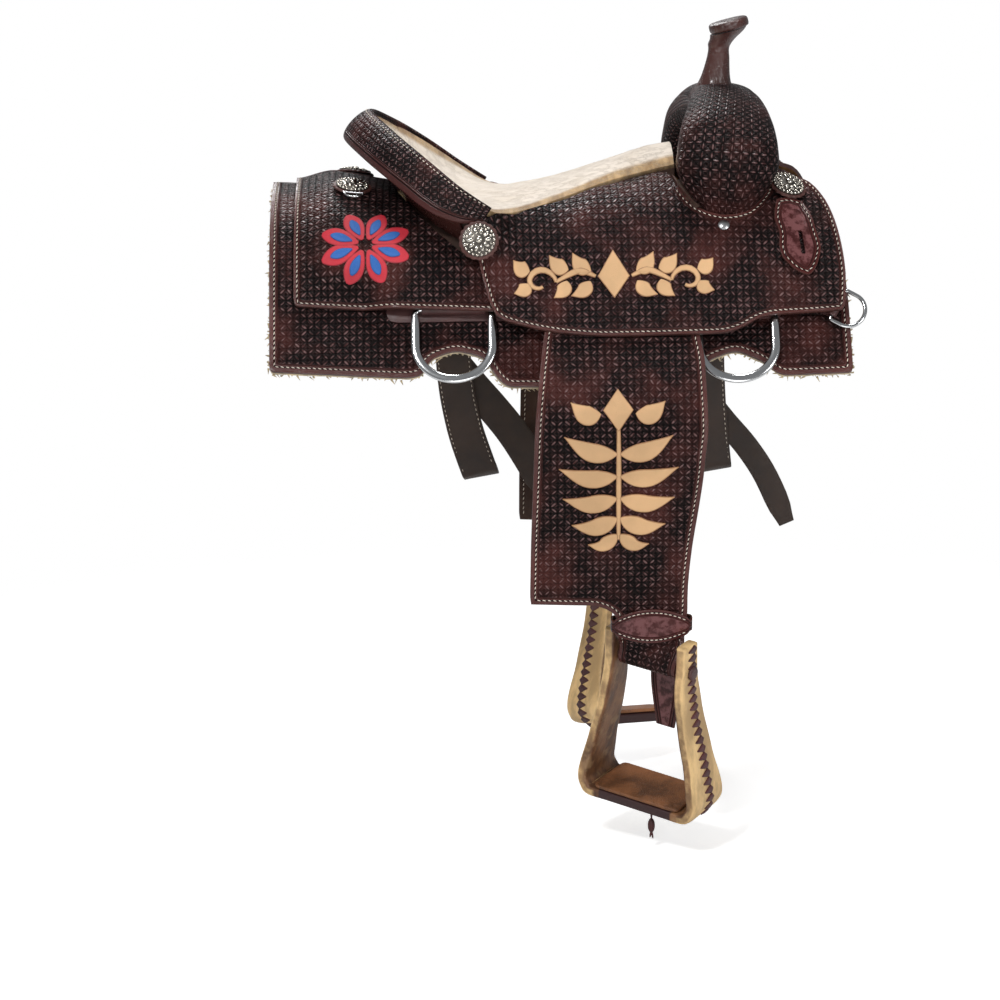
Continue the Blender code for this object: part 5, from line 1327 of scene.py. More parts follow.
def build_finishes():
    """All the saddle's finishes."""
    setting = look()
    base = tuple(setting.leather)
    tooled_finish("tooled", base)
    tooled_finish("tooled_jockey", base, border=0.0062, inset=jockey_seam_inset)
    tooled_finish("tooled_small", base, across=0.0125, down=0.0115, depth=0.0015, border=0.008)
    tooled_finish("tooled_fork", base, across=0.011, down=0.011, depth=0.0026, gloss=0.12,
                  turn=math.radians(40.0))
    tooled_finish("bordered", tint(base, 0.78, 0.52, 0.54), stamp=0.0, depth=0.0008, border=0.0068,
                  inset=0.0036)
    # The dark flesh finish also serves as painted shade on the tree's parts deep in the gaps.
    for name, colour, *rest in (
            ("burnished", tuple(setting.burnish), 0.42, 0.0004),
            ("flesh_side", tuple(setting.flesh), 0.85, 0.0005, 500.0),
            ("plain_dark", tint(base, 0.9), 0.36, 0.00025),
            ("flesh_dark", (0.06, 0.03, 0.02), 0.8, 0.0005, 500.0),
            ("lace", (0.085, 0.022, 0.022), 0.38, 0.0003),
            ("tread", (0.26, 0.105, 0.042), 0.46, 0.0007, 300.0, 0.6),
            ("strap", (0.036, 0.019, 0.012), 0.46, 0.0003),
            ("thread", tuple(setting.thread), 0.55, 0.0002, 1500.0, 0.2)):
        plain_leather(name, colour, *rest)
    plain_leather("horn", (0.06, 0.02, 0.016), 0.24, 0.0004, 500.0, Coat_Weight=0.35,
                  Coat_Roughness=0.12)
    overlay_finish("overlay", tuple(setting.overlay), (0.3, 0.12, 0.045))
    overlay_finish("overlay_red", (0.56, 0.018, 0.036), (0.23, 0.008, 0.016))
    overlay_finish("overlay_blue", (0.016, 0.12, 0.43), (0.008, 0.05, 0.18))
    metal_finish("steel", (0.66, 0.67, 0.68), 0.16)
    metal_finish("brushed", (0.52, 0.52, 0.52), 0.32, 0.12)
    metal_finish("silver", (0.74, 0.7, 0.63), 0.2, 0.08, (0.42, 0.38, 0.32))
    metal_finish("silver_dark", (0.1, 0.09, 0.08), 0.45, 0.1)
    suede_finish(tuple(setting.suede))
    wool_finish(tuple(setting.fleece))
    rawhide_finish(tuple(setting.rawhide))


# Cut outlines, as flat pattern points

def skirt_cut():
    ridge_start = ridge_v(skirt_rear_x) + 0.001
    top = [Vector((skirt_rear_x, ridge_start)), Vector((-0.25, ridge_v(-0.25) + 0.001))]
    top += [Vector((x, v_at(x, channel_half_width))) for x in (-0.19, -0.1, 0.0, 0.1, 0.18)]
    top += [Vector((0.23, v_at(0.23, channel_half_width + 0.012)))]
    top += [Vector((0.285, v_at(0.285, channel_half_width + 0.03)))]
    rear_low, mid_low, front_low = 0.098, 0.1205, 0.111
    rear_notch = rear_dee_x + 0.0015
    front_notch = front_dee_x - 0.0015
    low = [(skirt_rear_x, rear_low - 0.012), (skirt_rear_x, rear_low), (-0.18, 0.108)]
    low += [(rear_notch - notch_radius - 0.004, 0.106), (rear_notch - notch_radius + 0.006, 0.086)]
    low += [(rear_notch, mid_low - notch_depth), (rear_notch + notch_radius - 0.002, 0.085)]
    low += [(rear_notch + notch_radius + 0.01, 0.108), (rear_notch + notch_radius + 0.022, mid_low)]
    low += [(0.06, 0.123), (front_notch - notch_radius - 0.008, mid_low - 0.002)]
    low += [(front_notch - notch_radius + 0.002, 0.094), (front_notch, 0.0825)]
    low += [(front_notch + notch_radius - 0.004, 0.096), (front_notch + notch_radius + 0.014, 0.113)]
    low += [(skirt_front_x, front_low), (skirt_front_x + 0.0005, front_low - 0.01)]
    rear = [Vector((skirt_rear_x, ridge_start)), Vector((skirt_rear_x, rear_low - 0.012))]
    front = rounded([(0.285, top[-1].y), (0.299, -0.11), (0.308, -0.05),
                     (skirt_front_x, 0.02), (skirt_front_x + 0.0005, front_low - 0.01)], 0.03)
    return top, rounded(low, 0.01), rear, front


def rear_jockey_cut():
    foot = cantle_foot_run(cantle_back_thickness + curve_gap + 0.0055)
    rear_x = -0.3035
    top = [Vector((rear_x, ridge_v(rear_x) + 0.0006)), Vector((-0.24, ridge_v(-0.24) + 0.0006))]
    top += [Vector((p[0], v_at(p[0], max(p[1], 0.0004)))) for p in foot]
    top += [Vector((-0.066, -0.022))]
    low = rounded([(rear_x, 0.015), (rear_x + 0.002, 0.0235), (-0.185, 0.0325),
                   (-0.07, 0.0385), (-0.066, 0.03)], 0.006)
    return top, low, [top[0], low[0]], [top[-1], low[-1]]


def seat_jockey_cut():
    top = rounded([(-0.104, -0.046), (-0.081, -0.048), (-0.049, -0.069), (-0.003, -0.093),
                   (0.043, -0.111), (0.09, -0.123), (0.1215, -0.13), (0.129, -0.098),
                   (0.146, -0.072), (0.177, -0.061), (0.207, -0.068), (0.229, -0.095),
                   (0.242, -0.138), (0.256, -0.14)], 0.012, 2)
    low = rounded([(-0.079, 0.045), (-0.07, 0.052), (-0.042, 0.0605), (-0.009, 0.0675),
                   (0.034, 0.072), (0.101, 0.072), (0.174, 0.071), (0.192, 0.065),
                   (0.212, 0.0525), (0.228, 0.0485), (0.258, 0.046), (0.306, 0.043),
                   (0.3085, 0.034)], 0.012, 2)
    rear = rounded([(-0.104, -0.046), (-0.099, -0.02), (-0.093, 0.001), (-0.086, 0.031),
                    (-0.079, 0.045)], 0.012, 2)
    front = rounded([(0.256, -0.14), (0.282, -0.126), (0.2965, -0.096), (0.3045, -0.0628),
                     (0.3088, -0.0314), (0.311, 0.0), (0.3085, 0.034)], 0.012, 2)
    return top, low, rear, front


def keeper_cut():
    top = rounded([(0.239, -0.0835), (0.253, -0.0895), (0.268, -0.087)], 0.004, 2)
    low = rounded([(0.241, -0.0157), (0.2538, -0.0032), (0.269, 0.0035), (0.276, -0.003),
                   (0.28, -0.0109)], 0.004, 2)
    rear = rounded([(0.239, -0.0835), (0.2341, -0.0616), (0.24, -0.0422), (0.2373, -0.0286),
                    (0.241, -0.0157)], 0.006, 2)
    front = rounded([(0.268, -0.087), (0.2769, -0.0701), (0.2814, -0.0445), (0.2857, -0.0279),
                     (0.28, -0.0109)], 0.008, 2)
    return top, low, rear, front


def fender_cut():
    top = rounded([(-0.022, 0.044), (-0.014, 0.03), (0.000, 0.028), (0.048, 0.028),
                   (0.056, 0.008), (0.066, -0.008), (0.088, -0.015), (0.11, -0.008),
                   (0.12, 0.008), (0.127, 0.028), (0.138, 0.031), (0.1425, 0.042)], 0.008, 2)
    low = rounded([(-0.0456, 0.385), (-0.001, 0.387), (0.027, 0.388), (0.04, 0.393),
                   (0.049, 0.4), (0.053, 0.4115), (0.1265, 0.4115), (0.13, 0.399)], 0.006, 2)
    rear = rounded([(-0.022, 0.044), (-0.027, 0.066), (-0.034, 0.121), (-0.04, 0.178),
                    (-0.042, 0.233), (-0.045, 0.306), (-0.0467, 0.377), (-0.0456, 0.385)], 0.02, 2)
    front = rounded([(0.1425, 0.042), (0.145, 0.074), (0.149, 0.094), (0.15, 0.14),
                     (0.151, 0.182), (0.148, 0.203), (0.146, 0.232), (0.141, 0.271),
                     (0.134, 0.317), (0.13, 0.365), (0.13, 0.399)], 0.02, 2)
    return top, low, rear, front


def over_skirt(lift):
    """Surface at one lift over the skirt's outer face."""
    return lambda x, v: lay(x, v, lift)


on_skirt = over_skirt(0.0)


def on_rear_jockey(x, v):
    return lay(x, v, rear_jockey_outer(x, v))


def on_seat_jockey(x, v):
    return lay(x, v, seat_jockey_outer(x, v))


def on_keeper(x, v):
    return lay(x, v, seat_jockey_outer(x, v) + 0.0006 + keeper_thickness)


def on_fender(x, v):
    return Vector((x, *fender_point(v, fender_thickness / 2)[:2]))


def behind_fender(x, v):
    return Vector((x, *fender_point(v, -fender_thickness / 2 - 0.0003)[:2]))


# Pieces, one operator for each group

class SADDLE_OT_skirts(bpy.types.Operator):
    """Lay the skirts with their seams"""
    bl_idname = "saddle.skirts"
    bl_label = "Skirts"

    def execute(self, context):
        runs = skirt_cut()
        borders = runs[1:]
        for name, side in sides.items():
            node = "skirt_" + name
            skirt = leather_sheet("skirt_face_" + name, side, on_skirt, runs, 170, 74, skirt_thickness,
                                  leather_names(), borders, 0.0014)
            settle(skirt, node, node)
            stitches("skirt_stitches_" + name, node,
                     border_seams(side, on_skirt, runs, (1, 2, 3), look().seam_inset, borders))
        return {"FINISHED"}


class SADDLE_OT_fleece(bpy.types.Operator):
    """Line the skirts with woolly sheepskin"""
    bl_idname = "saddle.fleece"
    bl_label = "Fleece"

    def execute(self, context):
        rng = random.Random(5)
        runs = skirt_cut()
        columns, rows = 180, 80
        pattern = patch(*runs, columns, even(rows))
        edge = distances(pattern, runs)
        top = over_skirt(-skirt_thickness - curve_gap * 0.5)
        for name, side in sides.items():
            points = [mirror(top(p[0], p[1]), side) for p in pattern]
            uvs = [(p[0], -p[1]) for p in pattern]
            piece = grid("fleece_wool_" + name, points, uvs, rows, columns, edge)
            face_out(piece, Vector((0.0, side, 0.3)))
            thicken(piece, fleece_thickness, 0.0, ["wool"])
            self.tease(piece, side)
            settle(piece, "fleece_" + name, "fleece_" + name)
            self.tufts(name, side, runs, rng)
        return {"FINISHED"}

    def tease(self, piece, side):
        """Push the wool's free face out and in by locks."""
        border = piece.data.attributes["edge"].data
        for vertex in piece.data.vertices:
            co = vertex.co
            x, y = co.x, abs(co.y)
            v = v_at(x, y)
            if lay(x, v, 0.0).z < co.z:
                continue
            slope = side_point(x, v)[2]
            depth = (lay(x, v, 0.0) - Vector((x, y, co.z))).length * math.cos(slope)
            if depth < skirt_thickness + 0.004:
                continue
            lock = noise.fractal(co * 95.0, 1.0, 2.0, 3) * 0.003
            push = Vector((0.0, -math.sin(slope) * side, -math.cos(slope)))
            thin = 0.62 * (1.0 - smooth(border[vertex.index].value / 0.03)) * fleece_thickness
            vertex.co = co + push * (lock - 0.0012 - thin)
        piece.data.update()

    def tufts(self, name, side, runs, rng):
        """Curled locks along the hem and over the underside."""
        bent = []
        form = template(lambda: bpy.ops.mesh.primitive_cone_add(vertices=4, radius1=1.0, radius2=0.15,
                                                                depth=1.0))
        under = -skirt_thickness - curve_gap
        for run, inward in ((runs[1], -1.0), (runs[2], -1.0), (runs[3], 1.0)):
            fine = spaced(run, max(int(run_length(run) / 0.0016), 8))
            for before, after in zip(fine, fine[1:]):
                way = (after - before).normalized()
                outward = Vector((-way.y, way.x)) * -inward
                for layer in (0.35, 0.75):
                    place = (before + after) / 2 - outward * rng.uniform(0.0024, 0.0046)
                    lift = under - fleece_thickness * 0.45 * (layer + rng.uniform(-0.2, 0.2))
                    length = rng.uniform(0.0018, 0.0036)
                    point, along, down, out = placed(over_skirt(lift), place, side)
                    reach = (along * outward.x + down * outward.y) * rng.uniform(0.5, 1.0)
                    reach += along * rng.uniform(-0.5, 0.5) - out * rng.uniform(0.0, 0.8)
                    reach.normalize()
                    one = reach.cross(out).normalized() * rng.uniform(0.0006, 0.0013)
                    two = reach.cross(one).normalized() * rng.uniform(0.0006, 0.0013)
                    bent.append((point + reach * length * 0.35, one, two, reach * length))
        pattern = patch(*runs, 120, even(60))
        for p, edge in zip(pattern, distances(pattern, runs)):
            place = (p[0] + rng.uniform(-0.002, 0.002), p[1] + rng.uniform(-0.002, 0.002))
            lift = under - fleece_thickness * (0.38 + 0.62 * smooth(edge / 0.03))
            point, along, down, out = placed(over_skirt(lift), place, side)
            reach = (along * rng.uniform(-1, 1) + down * rng.uniform(-1, 1) - out * 0.55).normalized()
            length = rng.uniform(0.004, 0.0075)
            one = reach.cross(out).normalized() * rng.uniform(0.0008, 0.0016)
            two = reach.cross(one).normalized() * rng.uniform(0.0008, 0.0016)
            bent.append((point + out * 0.0012 + reach * length * 0.3, one, two, reach * length))
        settle(copies("fleece_locks_" + name, form, bent, "wool"), "fleece_" + name)


class SADDLE_OT_rear_jockeys(bpy.types.Operator):
    """Lay the rear jockeys with their inlaid flowers"""
    bl_idname = "saddle.rear_jockeys"
    bl_label = "Rear jockeys"

    def execute(self, context):
        runs = rear_jockey_cut()
        borders = runs[1:3]
        for name, side in sides.items():
            node = "rear_jockey_" + name
            jockey = leather_sheet("rear_jockey_face_" + name, side, on_rear_jockey, runs, 120, 84,
                                   rear_jockey_thickness, leather_names("tooled_jockey"), borders)
            settle(jockey, node, node)
            stitches("rear_jockey_stitches_" + name, node,
                     border_seams(side, on_rear_jockey, runs, (1, 2), jockey_seam_inset, borders))
            self.flower(name, side)
        return {"FINISHED"}

    def flower(self, name, side):
        """Eight-petalled inlay: red petals with blue hearts round a plain eye."""
        centre = Vector((-0.223, -0.04))
        long_axis, short_axis = 0.052, 0.044
        for colour, start, end, swell, height in (("red", 0.16, 1.0, 0.014, 0.0008),
                                                  ("blue", 0.3, 0.8, 0.0068, 0.0015)):
            def widths(t, swell=swell):
                return swell * math.sin(math.pi * min(t * 0.92 + 0.05, 1.0)) ** 0.75 * (0.55 + 0.45 * t)

            petals = []
            for k in range(8):
                angle = 2.0 * math.pi * (k + 0.5) / 8
                way = Vector((math.cos(angle) * long_axis, math.sin(angle) * short_axis))
                petals.append(([centre + way * mix(start, end, t / 6) for t in range(7)], widths))
            overlay("flower_" + colour + "_" + name, "rear_jockey_" + name, on_rear_jockey, petals, side,
                    "overlay_" + colour, height, 17)


class SADDLE_OT_seat_jockeys(bpy.types.Operator):
    """Lay the seat jockeys, the keepers and the undyed overlays"""
    bl_idname = "saddle.seat_jockeys"
    bl_label = "Seat jockeys"

    def execute(self, context):
        runs = seat_jockey_cut()
        fork_edge = [p for p in runs[0] if 0.129 < p.x < 0.242]
        for name, side in sides.items():
            node = "seat_jockey_" + name
            back = "flesh_side" if side > 0 else "flesh_dark"
            jockey = leather_sheet("seat_jockey_face_" + name, side, on_seat_jockey, runs, 190, 80,
                                   seat_jockey_thickness, leather_names("tooled_jockey", back),
                                   (*runs[1:], fork_edge))
            settle(jockey, node, node)
            frames = border_seams(side, on_seat_jockey, runs, (1, 2, 3), jockey_seam_inset, runs[1:])
            frames += seam(side, on_seat_jockey, fork_edge, jockey_seam_inset, [fork_edge], 1.0)
            stitches("seat_jockey_stitches_" + name, node, frames)
            self.keeper(name, side)
            self.overlay(name, side)
        return {"FINISHED"}

    def keeper(self, name, side):
        """Latigo keeper with its slot and seam."""
        node = "latigo_keeper_" + name
        runs = keeper_cut()
        piece = leather_sheet("keeper_face_" + name, side, on_keeper, runs, 34, 60, keeper_thickness,
                              leather_names("bordered"), runs, 0.0009)
        point, along, down, out = placed(on_keeper, keeper_slot_place, side)
        c, s = math.cos(keeper_slot_turn), math.sin(keeper_slot_turn)
        along, down = along * c + down * s, down * c - along * s
        bpy.ops.object.select_all(action="DESELECT")
        bpy.ops.mesh.primitive_cube_add(size=1.0)
        cutter = bpy.context.active_object
        cutter.data.transform(Matrix.Diagonal((*keeper_slot_size, 1.0)))
        edit(cutter, (bpy.ops.mesh.bevel, {"offset": 0.0018, "segments": 3}))
        turned = Matrix((along, down, out)).transposed().to_4x4()
        cutter.data.transform(Matrix.Translation(point) @ turned)
        edit(cutter, normals_out)
        hole = piece.modifiers.new("slot", "BOOLEAN")
        hole.object = cutter
        hole.solver = "EXACT"
        apply_modifiers(piece)
        bpy.data.objects.remove(cutter)
        shade(piece)
        settle(piece, node, node)
        stitches("keeper_stitches_" + name, node,
                 border_seams(side, on_keeper, runs, range(4), 0.0034, runs, 0.0009))

    def overlay(self, name, side):
        """Leaf and diamond spray in undyed leather."""
        centre = Vector((0.052, 0.002))
        leaf, stem = leaf_of(0.0082), stem_of(0.002, 0.0012)
        shapes = [([centre + Vector((0.0, -0.026)), centre + Vector((0.0, 0.026))], diamond_of(0.0175))]
        for way in (-1.0, 1.0):
            curl = []
            for k in range(15):
                t = k / 14
                angle = math.pi * (1.65 * t)
                radius = 0.0165 * (1.0 - 0.62 * t)
                curl.append(centre + Vector((way * (0.082 - math.cos(angle) * radius * 1.1),
                                             0.006 - math.sin(angle) * radius)))
            vine = [centre + Vector((way * x, y)) for x, y in
                    ((0.02, 0.0), (0.036, -0.006), (0.05, -0.002), (0.064, 0.006))]
            shapes += [(curl, stem), (through(vine, 4), stem)]
            for x, y, dx, dy in ((0.025, -0.005, 0.02, -0.019), (0.026, 0.006, 0.022, 0.017),
                                 (0.05, -0.007, 0.021, -0.015), (0.052, 0.005, 0.015, 0.02),
                                 (0.093, -0.006, 0.018, -0.011), (0.094, 0.008, 0.017, 0.011)):
                start = centre + Vector((way * x, y))
                end = start + Vector((way * dx, dy))
                bow = Vector((-(end - start).y, (end - start).x)) * 0.14
                shapes.append((through([start, start.lerp(end, 0.5) + bow * way, end], 5), leaf))
        overlay("jockey_overlay_" + name, "seat_jockey_" + name, on_seat_jockey, shapes, side)


class SADDLE_OT_fork(bpy.types.Operator):
    """Cover the fork and the horn"""
    bl_idname = "saddle.fork"
    bl_label = "Fork and horn"

    def execute(self, context):
        columns = 56
        rings = dense_rings(fork_rings(0.0, columns), 7)
        edges = []
        for ring in rings:
            for p in ring:
                if abs(p.y) < 0.17:
                    p.z = max(p.z, lay(p.x, v_at(p.x, abs(p.y)), 0.003).z)
            for j in range(columns + 1):
                edges.append(abs(math.sin(math.pi * (j % columns) / (columns / 2))) * 0.04 + 0.004)
        settle(lofted("fork_skin", rings, "tooled_fork", edges), "fork_cover", "fork_cover")
        # The tree's fork, seen through the gullet, is painted dark as painted shade.
        paint("tree_fork", "flesh_dark")
        self.horn()
        return {"FINISHED"}

    def horn(self):
        """Wrapped neck, waisted and leaning back, under a crowned oval cap."""
        rings = []
        for x, z, half_length, half_width, tilt in (
                (0.1802, 0.156, 0.0215, 0.0215, 0.0), (0.1808, 0.1625, 0.0186, 0.0188, 0.0),
                (0.1822, 0.172, 0.016, 0.0167, 2.0), (0.1845, 0.188, 0.0134, 0.0147, 4.0),
                (0.1856, 0.2, 0.0122, 0.0137, 6.0), (0.1885, 0.208, 0.0155, 0.0167, 10.0),
                (0.1945, 0.2155, 0.0197, 0.0217, 14.0), (0.1965, 0.2203, 0.0215, 0.025, 14.0)):
            lean = math.radians(tilt)
            rings.append([Vector((x + c * half_length * math.cos(lean), s * half_width,
                                  z + c * half_length * math.sin(lean))) for c, s in circle(48)])
        settle(lofted("horn_neck", dense_rings(rings, 6), "horn"), "horn_wrap", "horn_wrap")
        turn = Matrix.Translation((horn_cap_x, 0.0, horn_cap_z)) @ Matrix.Rotation(-horn_cap_tilt, 4, "Y")
        rings = []
        for share, height in ((0.9, -0.5), (0.97, -0.42), (1.0, -0.2), (1.0, 0.15), (0.975, 0.36),
                              (0.9, 0.47), (0.6, 0.52), (0.25, 0.54), (0.02, 0.545)):
            rings.append([turn @ Vector((c * horn_cap_length / 2 * share, s * horn_cap_width / 2 * share,
                                         height * horn_cap_thickness)) for c, s in circle(48)])
        settle(lofted("horn_top", rings, "horn"), "horn_cap", "horn_cap")
        paint("horn_core", "brushed")


class SADDLE_OT_seat(bpy.types.Operator):
    """Upholster the seat and cover the cantle"""
    bl_idname = "saddle.seat"
    bl_label = "Seat and cantle"

    def execute(self, context):
        rows = self.face(8, 72)
        last, edge = len(rows) - 1, len(rows[0]) - 1
        points = []
        uvs = []
        edges = []
        for i, row in enumerate(rows):
            for j, p in enumerate(row):
                w = abs(2.0 * j / edge - 1.0)
                ahead = rows[max(i - 1, 0)][j] - rows[min(i + 1, last)][j]
                across = row[min(j + 1, edge)] - row[max(j - 1, 0)]
                normal = ahead.cross(across).normalized()
                wrinkle = noise.fractal(Vector((p.x * 34.0, p.y * 22.0, p.z * 18.0)), 1.0, 2.1, 3)
                points.append(p + normal * 0.0012 * wrinkle * (1.0 - w ** 6))
                uvs.append((p.x, p.y))
                edges.append((row[0 if j < (edge + 1) / 2 else -1] - p).length)
        seat = grid("seat_suede", points, uvs, last + 1, edge + 1, edges)
        face_out(seat, Vector((0.0, 0.0, 1.0)))
        thicken(seat, seat_thickness * 0.9, 0.0026, ["suede", "suede"])
        settle(seat, "seat", "seat")
        self.roll()
        refinish("cantle_back", 0.0006, "tooled_small", 2)
        # The tree, ground seat and bars that show in the gaps are painted dark as painted shade.
        for node in ("tree_cantle", "ground_seat", "tree_bar_left", "tree_bar_right"):
            paint(node, "flesh_dark")
        return {"FINISHED"}

    def face(self, per_span, columns):
        """Rows of points over the seat's top face, from the fork to the cantle."""
        rows = []
        for centre, border in zip(through(seat_centre_run, per_span), through(seat_border_run, per_span)):
            row = []
            for j in range(columns + 1):
                w = 2.0 * j / columns - 1.0
                row.append(Vector((mix(centre.x, border.x, w * w), border.y * w,
                                   mix(centre.z, border.z, abs(w) ** 2.2))))
            rows.append(row)
        return rows

    def roll(self):
        """Stitched roll round the cantle's rim."""
        borders = through(seat_border_run, 2)
        wing = [Vector((-0.083, 0.16, 0.037))] + [p for p in borders if p.x < -0.1]
        half = [mirror(p, -1.0) for p in wing]
        rim = half + [Vector((cantle_rear_x + 0.0045, 0.0, cantle_top_z - 0.0035))]
        rim += [mirror(p, -1.0) for p in reversed(half)]
        run = spaced(rim, 25)
        columns = 36
        rings = []
        last = len(run) - 1
        for i, point in enumerate(run):
            tangent = (run[min(i + 1, last)] - run[max(i - 1, 0)]).normalized()
            share = 2.0 * i / last - 1.0
            down = Vector((-0.66, 0.42 * share, -0.62))
            down = (down - tangent * down.dot(tangent)).normalized()
            out = down.cross(tangent).normalized()
            if out.z < 0.0:
                out = -out
            size = (0.5, 0.78, 0.94, 1.0)[min(i, last - i, 3)]
            half_width = roll_width / 2 * size
            half_thick = roll_thickness / 2 * size
            centre = point + down * (half_width - 0.0025) + out * 0.0008
            rings.append([centre + down * c * half_width + out * s * half_thick for c, s in circle(columns)])
        rings = dense_rings(rings, 8)
        edges = [(0.5 - 0.5 * math.cos(2.0 * math.pi * j / columns)) * roll_width * 0.9
                 for j in range(columns + 1)] * len(rings)
        settle(lofted("cantle_roll_skin", rings, "tooled_small", edges), "cantle_roll", "cantle_roll")
        frames = []
        line = [ring[int(columns * 0.4)] for ring in rings]
        outs = [(p - sum(ring, Vector()) / columns).normalized() for p, ring in zip(line, rings)]
        count = int(run_length(line) / look().pitch)
        for k in range(1, count - 1):
            middle, tangent = stitch_on(line, k, count)
            out = outs[min(int(len(outs) * (k + 0.5) / count), len(outs) - 1)]
            cross = out.cross(tangent).normalized()
            frames.append((middle, tangent * look().pitch * 0.33, cross * 0.0006, out * 0.0006))
        stitches("cantle_stitches", "cantle_roll", frames)


class SADDLE_OT_rigging(bpy.types.Operator):
    """Polish the rings and their tabs"""
    bl_idname = "saddle.rigging"
    bl_label = "Rigging"

    def execute(self, context):
        for name, side in sides.items():
            for node, edge_round, finish in (
                    ("string_dee_", 0.0007, "steel"), ("rigging_tab_rear_", 0.0006, "plain_dark"),
                    ("rigging_tab_front_", 0.0006, "plain_dark"), ("breast_tab_", 0.0005, "plain_dark"),
                    ("leather_buckle_", 0.0004, "brushed"), ("stirrup_bolt_", 0.0004, "plain_dark"),
                    ("jockey_screw_", 0.0003, "brushed")):
                refinish(node + name, edge_round, finish)
            for kind, x, v in (("rear_", rear_dee_x, rear_dee_v), ("front_", front_dee_x, front_dee_v)):
                self.ring("dee_" + kind, name, side_frame(side, x, v, over_skirt(dee_lift)), dee_width,
                          dee_drop, dee_bar, dee_wire, dee_thickness)
            place_on = side_frame(side, breast_dee_x, breast_dee_v,
                                  over_skirt(seat_gap + breast_tab_radius), turn=breast_dee_turn)
            self.ring("breast_", name, place_on, breast_dee_width, breast_dee_drop, breast_dee_wire,
                      breast_dee_wire, breast_dee_wire * 0.9)
        return {"FINISHED"}

    def ring(self, kind, name, place_on, width, drop, bar, wire, thickness):
        """Welded dee of round wire, its straight bar above."""
        half = width / 2 - wire / 2
        centre = drop - wire / 2 - half * 0.92
        corner = wire * 0.7
        quarter = [math.pi * k / 10 for k in range(1, 5)]
        bow = [math.pi * k / 40 for k in range(41)]
        run = [(half, mix(corner, centre, k / 5)) for k in range(5)]
        run += [(math.cos(a) * half, centre + math.sin(a) * half * 0.92) for a in bow]
        run += [(-half, mix(centre, corner, k / 5)) for k in range(1, 6)]
        run += [(-half + corner * (1.0 - math.cos(a)), corner * (1.0 - math.sin(a))) for a in quarter]
        run += [(mix(-half + corner, half - corner, k / 8), 0.0) for k in range(9)]
        run += [(half - corner * (1.0 - math.sin(a)), corner * (1.0 - math.cos(a))) for a in quarter]
        turn = place_on.to_3x3()
        frames = []
        for i, (x, y) in enumerate(run):
            before, after = run[i - 1], run[(i + 1) % len(run)]
            way = Vector((after[0] - before[0], after[1] - before[1])).normalized()
            size = mix(bar, wire, smooth(y / (corner * 2.5))) / 2
            frames.append((place_on @ Vector((x, y, 0.0)), turn @ Vector((way.y, -way.x, 0.0)) * size,
                           turn @ Vector((0.0, 0.0, thickness / 2))))
        section = [tuple(math.copysign(abs(c) ** 0.85, c) for c in pair) for pair in circle(16)]
        node = ("breast_dee_" if kind == "breast_" else kind) + name
        settle(sweep(kind + "wire_" + name, frames, section, True, "steel"), node, node)


class SADDLE_OT_conchos(bpy.types.Operator):
    """Set the engraved conchos on their scalloped rosettes"""
    bl_idname = "saddle.conchos"
    bl_label = "Conchos"

    def execute(self, context):
        for name, side in sides.items():
            for kind, surface, x, v, gap, step in (
                    ("rear_", on_rear_jockey, -0.2385, -0.135, concho_gap, 0.004),
                    ("side_", on_seat_jockey, -0.0965, -0.029, side_concho_gap, 0.004),
                    ("front_", on_seat_jockey, 0.253, -0.108, front_concho_gap, 0.016)):
                node = "concho_" + kind + name
                place_on = side_frame(side, x, v, surface, gap, step=step)
                self.rosette("rosette_" + kind + name, node, place_on)
                self.silver(node, place_on)
        return {"FINISHED"}

    def rosette(self, name, node, place_on):
        """Leather disc with a scalloped edge."""
        scallops = 18
        rings = []
        for share, height in ((0.1, -0.0002), (0.94, -0.0002), (1.0, 0.0005), (1.0, 0.0017),
                              (0.96, 0.0024), (0.5, 0.0026), (0.1, 0.0026)):
            ring = []
            for j, (c, s) in enumerate(circle(scallops * 6)):
                angle = 2.0 * math.pi * j / (scallops * 6)
                wave = 1.0 - 0.055 * (1.0 - abs(math.sin(angle * scallops / 2))) if share > 0.6 else 1.0
                radius = rosette_radius * share * wave
                ring.append(place_on @ Vector((c * radius, s * radius, height)))
            rings.append(ring)
        settle(lofted(name, rings, "burnished"), node, slot="dark_leather")

    def silver(self, node, place_on):
        """Domed silver: petals round a centre bead, inside a ring of berries."""
        turn = place_on.to_3x3()
        frames = []
        for count, half_step, reach, height, rx, ry, rz in (
                (22, 0.0, concho_radius - 0.0016, 0.0016, 0.002, 0.002, 0.0017),
                (10, 0.0, 0.0098, 0.0038, 0.0044, 0.0024, 0.0014),
                (10, 0.5, 0.0138, 0.0026, 0.0018, 0.0016, 0.0012),
                (1, 0.0, 0.0, 0.0052, 0.0044, 0.0044, 0.0024)):
            for k in range(count):
                angle = 2.0 * math.pi * (k + half_step) / count
                c, s = math.cos(angle), math.sin(angle)
                frames.append((place_on @ Vector((c * reach, s * reach, rosette_thickness + height)),
                               turn @ Vector((c, s, 0.0)) * rx, turn @ Vector((-s, c, 0.0)) * ry,
                               turn @ Vector((0.0, 0.0, 1.0)) * rz))
        beads = copies("beads", bead_form(10, 6), frames, "silver")
        rings = [[place_on @ Vector((c * radius, s * radius, rosette_thickness + height))
                  for c, s in circle(40)]
                 for radius, height in ((concho_radius, -0.0004), (concho_radius, 0.0014), (0.016, 0.0022),
                                        (0.012, 0.0034), (0.007, 0.0046), (0.002, 0.005))]
        dome = lofted("dome", rings, "silver_dark")
        settle(merge_pieces(node + "_silver", [dome, beads]), node, node, slot="engraved_silver")


